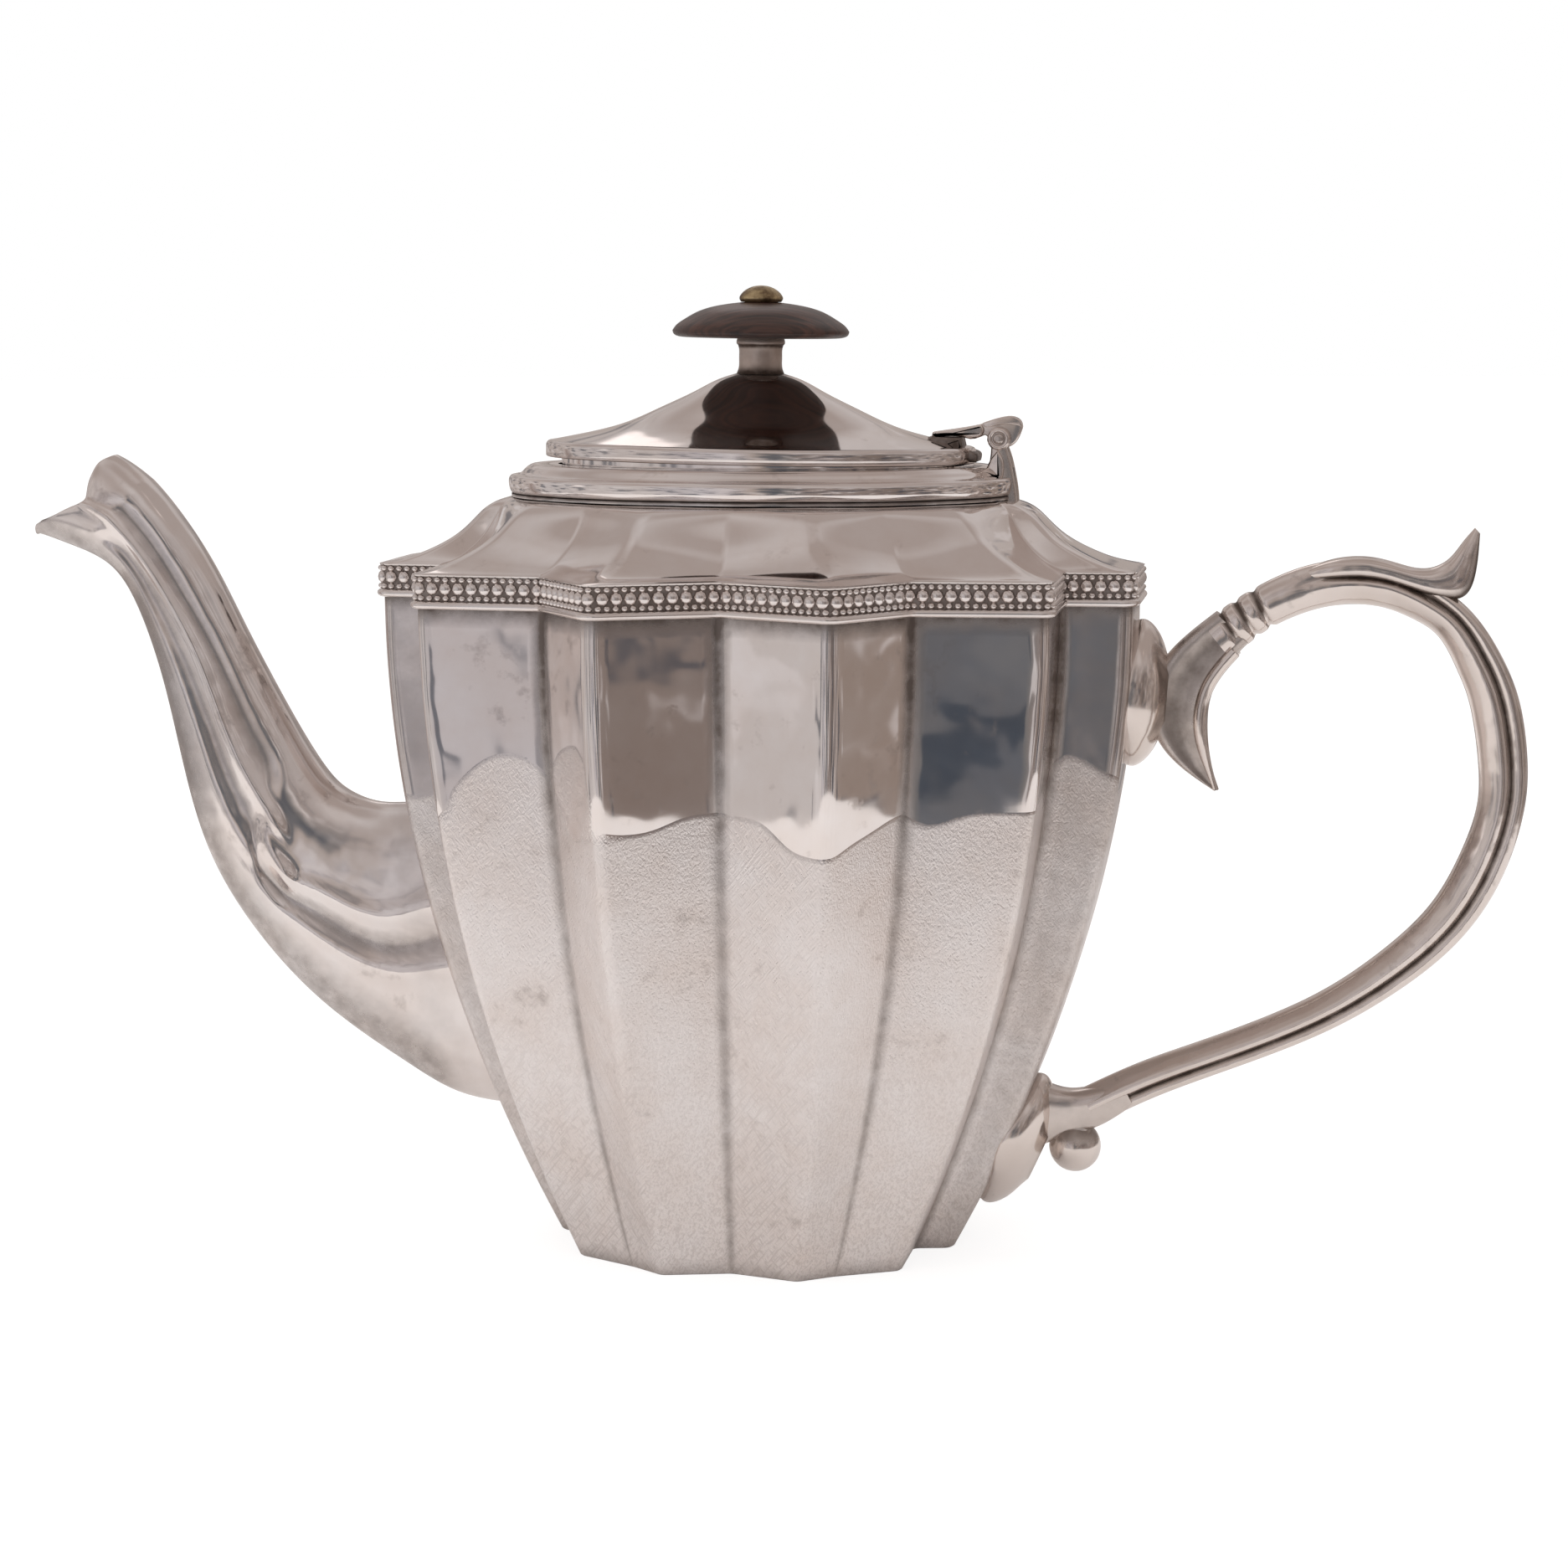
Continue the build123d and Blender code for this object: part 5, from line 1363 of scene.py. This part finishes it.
@dataclass
class Handle:
    """Cast scroll handle on two cushion pads: beaked bracket, reeded root, leafed arch, thumb spur and ball."""

    stations: tuple = (
        ((79.6, 114.0), (84.8, 107.6)), ((86.2, 119.0), (90.2, 112.4)), ((94.6, 123.4), (96.8, 115.8)),
        ((103.0, 125.4), (103.2, 117.4)), ((112.0, 124.8), (110.2, 117.2)), ((119.8, 121.4), (116.2, 115.0)),
        ((126.2, 116.4), (120.6, 111.8)), ((131.2, 109.2), (123.8, 106.0)), ((134.8, 100.4), (126.2, 99.4)),
        ((136.4, 89.2), (127.8, 89.0)), ((135.6, 79.6), (127.4, 81.0)), ((132.0, 68.4), (124.4, 72.4)),
        ((124.8, 57.4), (119.0, 63.2)), ((114.0, 48.0), (109.4, 54.0)), ((100.8, 40.0), (97.6, 46.2)),
        ((84.8, 33.0), (82.0, 39.2)), ((72.6, 27.8), (69.6, 34.2)), ((62.6, 22.6), (58.8, 28.8)))
    half_width: float = 3.4
    # Side of the bar's section: (place from inner edge -1 to outer edge 1, share of the half width).
    section: tuple = ((1.0, 0.0), (0.93, 0.42), (0.74, 0.72), (0.52, 0.7), (0.34, 0.55), (0.16, 0.82),
                      (-0.04, 1.0), (-0.26, 0.93), (-0.6, 0.66), (-0.88, 0.34), (-1.0, 0.0))
    reed_slots: tuple = (0.42, 0.82, 1.22)   # stations of the slots between the reeds
    reed_width: float = 0.075      # of a slot, in stations
    reed_size: float = 0.985       # of the bar between the slots, as a share of its stations
    reed_depth: float = 0.13
    reed_end: float = 1.5
    groove_at: float = 0.34        # place of the groove between the bar's two lobes
    patina_and_shade_level: float = 0.95           # how far grooves and slots are darkened by tarnish and painted shade
    ball: tuple = (57.9, 18.1)
    ball_radius: float = 4.7
    pad_length: float = 26.4
    pad_width: float = 18.0
    # Pad's swell: (millimetres out from the wall, share of its full size).
    pad_levels: tuple = ((-1.2, 0.93), (0.0, 0.985), (1.0, 1.0), (2.2, 0.965), (3.6, 0.86), (4.9, 0.69),
                         (5.8, 0.52), (6.3, 0.44))
    upper_pad: float = 101.4       # heights of the pads' middles
    lower_pad: float = 19.4
    plan: Plan = field(default_factory=Plan)

    def bar(self) -> Skin:
        """Bar: two-lobed sections square to its line, with reeds as a wave of the section's size.

        Returns:
            The bar's skin.
        """
        values = np.array([(*outer, *inner) for outer, inner in self.stations])
        last = len(self.stations) - 1
        station = np.concatenate([np.linspace(0, 2, 120), np.linspace(2, last, 210)[1:]])
        s = through(np.arange(last + 1.0), values, station)
        side = smooth(self.section, 27)
        loop = np.vstack([side, side[-2:0:-1] * [1, -1]])
        middle, reach = (s[:, :2] + s[:, 2:]) / 2, (s[:, :2] - s[:, 2:]) / 2
        slots = bell(station[:, None] - np.array(self.reed_slots)[None], self.reed_width).sum(1)
        size = self.reed_size - self.reed_depth * slots
        plain = ease(self.reed_end + 0.3, self.reed_end + 2.0, station)[:, None]
        round_side = np.sign(loop[None, :, 1]) * np.sqrt(np.clip(1 - loop[None, :, 0] ** 2, 0, 1)) ** 0.8
        y = (loop[None, :, 1] * plain + round_side * (1 - plain)) * self.half_width * size[:, None]
        flat = middle[:, None] + reach[:, None] * (loop[None, :, 0, None] * size[:, None, None])
        grid = np.stack([flat[..., 0], y, flat[..., 1]], -1)
        groove = self.patina_and_shade_level * bell(loop[None, :, 0] - self.groove_at, 0.1) * plain
        notch = self.patina_and_shade_level * slots[:, None] * ease(-0.7, 0.1, loop[None, :, 0])
        return Skin.of_grid(grid, np.maximum(groove, notch))

    def bracket(self) -> Skin:
        """Bracket behind the upper pad, ending below in a beak, with a rib along its hollow edge.

        Returns:
            The bracket's skin.
        """
        right = [(87.6, 110.6), (84.3, 107.0), (81.3, 102.4), (80.1, 96.5), (80.8, 90.6), (82.75, 84.3)]
        left = [(81.8, 116.0), (75.0, 110.2), (71.2, 104.4), (71.0, 95.0), (75.2, 88.9), (81.9, 84.1)]
        skin = blade(left, right, (3.35, 3.35, 3.3, 3.0, 2.5, 1.2), dish=0.35, hollow=0.6)
        inner = smooth(right, 44)[3:]
        away = np.linspace(0, 1, len(inner))
        for side in Side:
            path = np.stack([inner[:, 0] - 1.0 + 0.4 * away, side.value * (2.5 - 1.6 * ease(0.6, 1.0, away)),
                             inner[:, 1] + 0.1], 1)
            skin = skin + rod(path, 1.2 - 0.75 * ease(0.5, 1.0, away))
        return skin

    def spur(self) -> Skin:
        """Leaf that lies along the arch and curls up into the thumb spur.

        Returns:
            The leaf's skin.
        """
        upper = [(94.3, 122.0), (98.6, 124.3), (104.0, 125.85), (109.6, 125.75), (114.4, 124.5), (118.4, 124.1),
                 (121.6, 125.6), (124.0, 128.6), (126.1, 131.2)]
        lower = [(94.1, 121.6), (98.8, 121.9), (104.2, 122.3), (109.4, 122.1), (114.4, 120.8), (119.4, 119.2),
                 (124.4, 119.2), (126.6, 124.4), (127.0, 130.2)]
        return blade(upper, lower, (0.5, 2.9, 3.6, 3.6, 3.4, 3.2, 2.8, 1.9, 0.5), rows=90, square=0.7, seam=1.0)

    def root(self) -> Skin:
        """Lower end: the bar's foot runs down behind the pad, with the ball under it.

        Returns:
            The lower end's skin.
        """
        arm = blade([(66.6, 30.4), (61.6, 29.4), (57.0, 28.6), (52.6, 29.6)],
                    [(68.6, 26.4), (62.4, 22.2), (57.6, 20.4), (52.0, 18.2)], (2.9, 3.15, 3.2, 3.6), rows=30,
                    hollow=0.4)
        neck = blade([(61.8, 25.0), (60.6, 22.0), (61.0, 19.6)], [(54.6, 24.0), (55.2, 21.2), (54.8, 18.6)],
                     (2.9, 2.9, 3.3), rows=20, hollow=0.7)
        tilt = np.linspace(-math.pi / 2 + 0.06, math.pi / 2 - 0.06, 22)
        turn = np.linspace(0, 2 * math.pi, 40, endpoint=False)
        r = self.ball_radius
        grid = np.stack([self.ball[0] + r * np.cos(tilt)[:, None] * np.cos(turn),
                         np.broadcast_to(r * np.sin(tilt)[:, None], (22, 40)),
                         self.ball[1] + r * np.cos(tilt)[:, None] * np.sin(turn)], -1)
        # Painted shade: the ball's upper half darkened under the arm above it.
        high = 0.5 * ease(-0.5, 3.0, grid[..., 2] - self.ball[1])
        return arm + neck + Skin.of_grid(grid, high)

    def casting(self, finish: bpy.types.Material) -> None:
        """The whole handle casting as one piece."""
        skin = self.bar() + self.bracket() + self.spur() + self.root()
        skin.make("handle_scroll", Body.POT, "cast_silver", finish, ["handle_casting"])

    def end_wall(self, z: float) -> float:
        """Half length of the body at its end lobe at height z."""
        opened = 1 - (1 - z / self.plan.rim_height) ** 2
        return self.plan.foot[0][0] + (self.plan.rim[0][0] - self.plan.foot[0][0]) * opened

    def pad(self, height: float, name: str, node: str, finish: bpy.types.Material) -> None:
        """Cushion pad: ovals square to the wall, swelling and then drawing in to the casting.

        Args:
            height: height of its middle.
            name: the piece's name.
            node: the CAD node it stands for.
            finish: its material.
        """
        slope = math.atan2(self.end_wall(height + 5) - self.end_wall(height - 5), 10.0)
        up = np.array([math.sin(slope), 0, math.cos(slope)])
        out = np.array([math.cos(slope), 0, -math.sin(slope)])
        level = smooth(self.pad_levels, 26)
        turn = np.linspace(0, 2 * math.pi, 72, endpoint=False)
        along = np.cos(turn)[None] * self.pad_length / 2 * level[:, 1:2]
        y = np.sign(np.sin(turn)) * np.abs(np.sin(turn)) ** 1.12 * self.pad_width / 2 * level[:, 1:2]
        stand = level[:, :1] - 0.35 * np.maximum(np.abs(y) - 7, 0) ** 2 * (1 - ease(0, 2.5, level[:, :1]))
        centre = np.array([self.end_wall(height), 0, height])
        grid = centre + along[..., None] * up + y[..., None] * [0, 1, 0] + stand[..., None] * out
        hollow = 0.5 * bell(level[:, 0] + 0.8, 0.8) + 0.3 * bell(level[:, 0] - 6.3, 0.7)
        Skin.of_grid(grid, hollow[:, None]).make(name, Body.POT, "cast_silver", finish, [node])


# ---- studio ----------------------------------------------------------------------------------


@dataclass
class Studio:
    """Pale table, soft lights, a quiet room for the metal to mirror, and the camera."""

    yaw: float = 10.0              # degrees round from straight in front
    pitch: float = 8.542           # degrees above the horizon
    roll: float = 0.139
    distance: float = 600.93
    shift_right: float = 4.182     # target's place to the right of the axis
    target_height: float = 83.253
    lens: float = 75.71
    sensor: float = 36.0
    # The room's colours round about, from 0 at the spout's side by 0.25 in front to 1.
    walls: tuple = ((0.0, "#C6C0BF"), (0.14, "#CDC7C5"), (0.165, "#BFBABC"), (0.215, "#CDC8CA"),
                    (0.2415, "#B4A8A0"), (0.2465, "#8A8583"), (0.2505, "#5C616A"), (0.264, "#7A7878"),
                    (0.29, "#968A85"), (0.38, "#7F736D"), (0.46, "#A69A94"), (0.56, "#8F8178"),
                    (0.72, "#B1A6A0"), (1.0, "#C4BBB7"))
    table_radius: float = 350.0    # of the part of the table that the metal mirrors
    table_reach: float = 6000.0
    # Bright panes that the metal mirrors: (direction, half width in degrees, strength).
    windows: tuple = (((-0.75, -0.62, 0.55), 5.0, 1.35), ((0.62, -0.5, 0.75), 5.0, 2.0),
                      ((-0.2, 0.8, 0.5), 8.0, 2.2), ((0.1, -0.75, 0.2), 4.5, 2.6),
                      ((-0.85, -0.4, 0.12), 5.0, 2.2))
    shade: str = "#38424F"         # dark blue-grey shapes about the room
    daylight: str = "#DAD5D5"      # pale shapes about the room
    ceiling: tuple = ("#ADA29D", "#C9C2C0")
    # Soft lights: (name, place in millimetres, side, watts, colour).
    lamps: tuple = (("key", (-620, -560, 780), 520, 2.0, "#FFF9F5"),
                    ("fill", (700, -420, 520), 420, 0.7, "#F6F8FF"),
                    ("rear", (-260, 640, 520), 420, 0.7, "#FFFFFF"))

    def camera(self) -> None:
        """Camera on its yaw and pitch round the target, turned by its roll."""
        yaw, pitch, roll = (math.radians(a) for a in (self.yaw, self.pitch, self.roll))
        back = Vector((math.sin(yaw) * math.cos(pitch), -math.cos(yaw) * math.cos(pitch), math.sin(pitch)))
        right = Vector((math.cos(yaw), math.sin(yaw), 0))
        up = back.cross(right)
        target = right * self.shift_right + Vector((0, 0, self.target_height))
        across = right * math.cos(roll) - up * math.sin(roll)
        upright = right * math.sin(roll) + up * math.cos(roll)
        turn = Matrix((across, upright, back)).transposed().to_4x4()
        data = bpy.data.cameras.new("camera")
        data.lens, data.sensor_width, data.clip_start = self.lens, self.sensor, 0.01
        camera = bpy.data.objects.new("camera", data)
        camera.matrix_world = Matrix.Translation((target + back * self.distance) * MM) @ turn
        bpy.context.scene.collection.objects.link(camera)
        bpy.context.scene.camera = camera

    def sheet_of_table(self, name: str, inner: float, outer: float, colour: str, mirrored: bool) -> None:
        """Flat ring of table.

        Args:
            name: the object's name.
            inner: inner radius in millimetres.
            outer: outer radius in millimetres.
            colour: its colour.
            mirrored: False keeps it out of the metal's reflections.
        """
        sides = 96
        turn = np.linspace(0, 2 * math.pi, sides, endpoint=False)
        rim = np.stack([np.cos(turn), np.sin(turn), 0 * turn], 1) * MM
        points = np.vstack([rim * max(inner, 0.01), rim * outer])
        k = np.arange(sides)
        faces = np.stack([k, k + sides, (k + 1) % sides + sides, (k + 1) % sides], -1).tolist()
        mesh = bpy.data.meshes.new(name)
        mesh.from_pydata(points.tolist(), [], faces)
        material, tree = new_material(name)
        coords = add(tree, "ShaderNodeTexCoord").outputs["Object"]
        grain = add(tree, "ShaderNodeTexNoise", {"Vector": coords, "Scale": per_mm(60)}).outputs[0]
        tone = add(tree, "ShaderNodeMix", {"Factor": grain, "A": linear(colour), "B": linear("#EBE7E5")},
                   data_type="RGBA").outputs["Result"]
        lit = add(tree, "ShaderNodeBsdfPrincipled", {"Base Color": tone, "Roughness": 0.9}).outputs[0]
        # The eye sees the table bleached nearly white, and the metal mirrors its real tone.
        bleached = add(tree, "ShaderNodeBsdfPrincipled", {
            "Base Color": linear("#8A8684"), "Roughness": 0.9, "Emission Color": linear("#FFFFFF"),
            "Emission Strength": 0.82}).outputs[0]
        eye = add(tree, "ShaderNodeLightPath").outputs["Is Camera Ray"]
        shader = add(tree, "ShaderNodeMixShader", {0: eye, 1: lit, 2: bleached}).outputs[0]
        add(tree, "ShaderNodeOutputMaterial", {"Surface": shader})
        mesh.materials.append(material)
        sheet = bpy.data.objects.new(name, mesh)
        sheet.visible_glossy = mirrored
        bpy.context.scene.collection.objects.link(sheet)

    def light(self, name: str, place: tuple, size: float, watts: float, colour: str) -> None:
        """Square soft light at a place in millimetres, turned to the middle of the pot.

        Args:
            name: its name.
            place: its place in millimetres.
            size: length of its side.
            watts: its power.
            colour: its colour.
        """
        data = bpy.data.lights.new(name, "AREA")
        data.size, data.energy, data.color = size * MM, watts, linear(colour)[:3]
        lamp = bpy.data.objects.new(name, data)
        lamp.location = Vector(place) * MM
        aim = Vector((0, 0, 90 * MM)) - lamp.location
        lamp.visible_glossy = False
        lamp.rotation_euler = aim.to_track_quat("-Z", "Y").to_euler()
        bpy.context.scene.collection.objects.link(lamp)

    def room(self) -> None:
        """World: plain white to the eye, and to the metal a pale room with a few dark blue-grey shapes."""
        world = bpy.data.worlds.new("room")
        bpy.context.scene.world = world
        world.use_nodes = True
        tree = world.node_tree
        tree.nodes.clear()
        way = add(tree, "ShaderNodeTexCoord").outputs["Generated"]
        height = add(tree, "ShaderNodeSeparateXYZ", {0: way}).outputs["Z"]
        bent = add(tree, "ShaderNodeTexNoise", {"Vector": way, "Scale": 5.0, "Detail": 1.0}).outputs["Color"]
        shift = add(tree, "ShaderNodeVectorMath", {0: bent, 1: (-0.5, -0.5, -0.5)}, operation="ADD").outputs[0]
        swayed = add(tree, "ShaderNodeVectorMath", {0: shift, 1: (0.22, 0.22, 0.22), 2: way},
                     operation="MULTIPLY_ADD").outputs[0]
        round_about = add(tree, "ShaderNodeTexGradient", {0: swayed}, gradient_type="RADIAL").outputs["Fac"]
        ramp = add(tree, "ShaderNodeValToRGB", {0: round_about})
        for k, (place, colour) in enumerate(self.walls):
            stop = ramp.color_ramp.elements[k] if k < 2 else ramp.color_ramp.elements.new(place)
            stop.position, stop.color = place, linear(colour)
        shapes = add(tree, "ShaderNodeTexNoise", {"Vector": way, "Scale": 9.5, "Detail": 1.5, "Roughness": 0.5,
                                                  "Distortion": 0.8}).outputs[0]
        dark = add(tree, "ShaderNodeMapRange", {"Value": shapes, "From Min": 0.58, "From Max": 0.61,
                                                "To Max": 0.75}).outputs[0]
        pale = add(tree, "ShaderNodeMapRange", {"Value": shapes, "From Min": 0.41, "From Max": 0.37,
                                                "To Max": 0.8}).outputs[0]
        darker = add(tree, "ShaderNodeMix", {"Factor": dark, "A": ramp.outputs[0], "B": linear(self.shade)},
                     data_type="RGBA").outputs["Result"]
        around = add(tree, "ShaderNodeMix", {"Factor": pale, "A": darker, "B": linear(self.daylight)},
                     data_type="RGBA").outputs["Result"]
        broad = add(tree, "ShaderNodeTexNoise", {"Vector": way, "Scale": 1.9, "Detail": 0.5}).outputs[0]
        patch = add(tree, "ShaderNodeMapRange", {"Value": broad, "From Min": 0.44,
                                                 "From Max": 0.64}).outputs[0]
        dim, clear = (linear(colour) for colour in self.ceiling)
        ceiling = add(tree, "ShaderNodeMix", {"Factor": patch, "A": dim, "B": clear},
                      data_type="RGBA").outputs["Result"]
        upward = add(tree, "ShaderNodeMapRange", {"Value": height, "From Min": 0.2, "From Max": 0.6}).outputs[0]
        room = add(tree, "ShaderNodeMix", {"Factor": upward, "A": around, "B": ceiling},
                   data_type="RGBA").outputs["Result"]
        mirrored = add(tree, "ShaderNodeLightPath").outputs["Is Glossy Ray"]
        seen = add(tree, "ShaderNodeMix", {"Factor": mirrored, "A": (1.0, 1.0, 1.0, 1.0), "B": room},
                   data_type="RGBA").outputs["Result"]
        power = mirrored
        for towards, size, strength in self.windows:
            near = add(tree, "ShaderNodeVectorMath", {0: way, 1: Vector(towards).normalized()},
                       operation="DOT_PRODUCT").outputs["Value"]
            edge = math.cos(math.radians(size))
            pane = add(tree, "ShaderNodeMapRange", {"Value": near, "From Min": edge, "From Max": edge + 0.004,
                                                    "To Max": strength}).outputs[0]
            power = add(tree, "ShaderNodeMath", {0: power, 1: pane}, operation="MAXIMUM").outputs[0]
        power = add(tree, "ShaderNodeMix", {"Factor": mirrored, "A": 1.0, "B": power}).outputs[0]
        glow = add(tree, "ShaderNodeBackground", {"Color": seen, "Strength": power}).outputs[0]
        add(tree, "ShaderNodeOutputWorld", {"Surface": glow})

    def make(self) -> None:
        """Makes the studio."""
        self.camera()
        self.sheet_of_table("table", 0, self.table_radius, "#E2DDDB", True)
        self.sheet_of_table("table_beyond", self.table_radius, self.table_reach, "#D5CDC8", False)
        for lamp in self.lamps:
            self.light(*lamp)
        self.room()
        bpy.context.scene.view_settings.view_transform = "Standard"


def dress_inner_nodes(finishes: dict[str, bpy.types.Material]) -> None:
    """Gives each CAD node that stays its finish.

    Args:
        finishes: material by node name.
    """
    for node, material in finishes.items():
        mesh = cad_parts[node].data
        mesh.materials.clear()
        mesh.materials.append(material)
        LOG.info("%s: kept from the frame, dressed in %s", node, material.name)


def main() -> None:
    """Builds the teapot and its studio."""
    logging.basicConfig(level=logging.INFO, format="%(name)s %(message)s")
    Studio().make()
    # Panels: raised sheet, bright above and rubbed to a grey cross-hatched haze below.
    panels = SilverPlate("silver_plate_panels", haze=0.3, haze_height=85, haze_wander=44, gloss=0.055,
                         ripple=0.10, scratches=0.5, hatching=0.26).material()
    # Cover, collar and lid: raised sheet that the cloth reaches best, so the brightest.
    smooth_plate = SilverPlate("silver_plate_polished", gloss=0.08, spots=0.25).material()
    # Spout: pressed halves, with ripples closer together than on raised sheet.
    pressed = SilverPlate("silver_plate_pressed", gloss=0.12, spots=0.4, ripple=0.18, ripple_size=6).material()
    # Border: stamped strip, dark with tarnish and painted shade between its beads, and painted shade on the
    # beads' sides.
    beaded = SilverPlate("silver_border_stamped", gloss=0.18, depth=0.8, spots=0.3, ripple=0.05,
                         patina_and_shade_colour="#5C4C42").material()
    # Handle, pads and hinge: cast and buffed, so softer and warmer, and brown in each groove.
    cast = SilverPlate("silver_cast_buffed", plate="#E0D6CF", gloss=0.15, spots=0.6, depth=0.9, ripple=0.14,
                       ripple_size=4).material()
    # Knob's stem and the pin: worn by fingers towards the warmer metal below.
    worn = SilverPlate("silver_stem_worn", plate="#D6C4B8", gloss=0.3, spots=0.8, depth=0.9).material()
    # Base plate: never polished, so dull.
    base = SilverPlate("silver_base_dull", plate="#CFC6BE", gloss=0.3, spots=0.5).material()
    wood, brass = Rosewood().material(), Brass().material()
    plan = Plan()
    body = PotBody(plan)
    body.wall(panels)
    body.wire(beaded)
    body.beading(beaded)
    shoulder = Shoulder(plan)
    shoulder.cover(smooth_plate)
    shoulder.collar(smooth_plate)
    lid = Lid()
    lid.shell(smooth_plate)
    lid.stem(worn)
    lid.disc(wood)
    lid.cap(brass)
    hinge = Hinge()
    hinge.post(cast)
    hinge.strap(cast)
    hinge.saddle(cast)
    Spout().make(pressed)
    handle = Handle()
    handle.casting(cast)
    handle.pad(handle.upper_pad, "upper_cushion", "handle_upper_pad", cast)
    handle.pad(handle.lower_pad, "lower_cushion", "handle_lower_pad", cast)
    dress_inner_nodes({"base_plate": base, "lid_seat_ring": smooth_plate, "lid_bezel": smooth_plate,
                       "hinge_pin": worn, "knob_stud": brass, "knob_nut": brass})


if __name__ == "__main__":
    main()
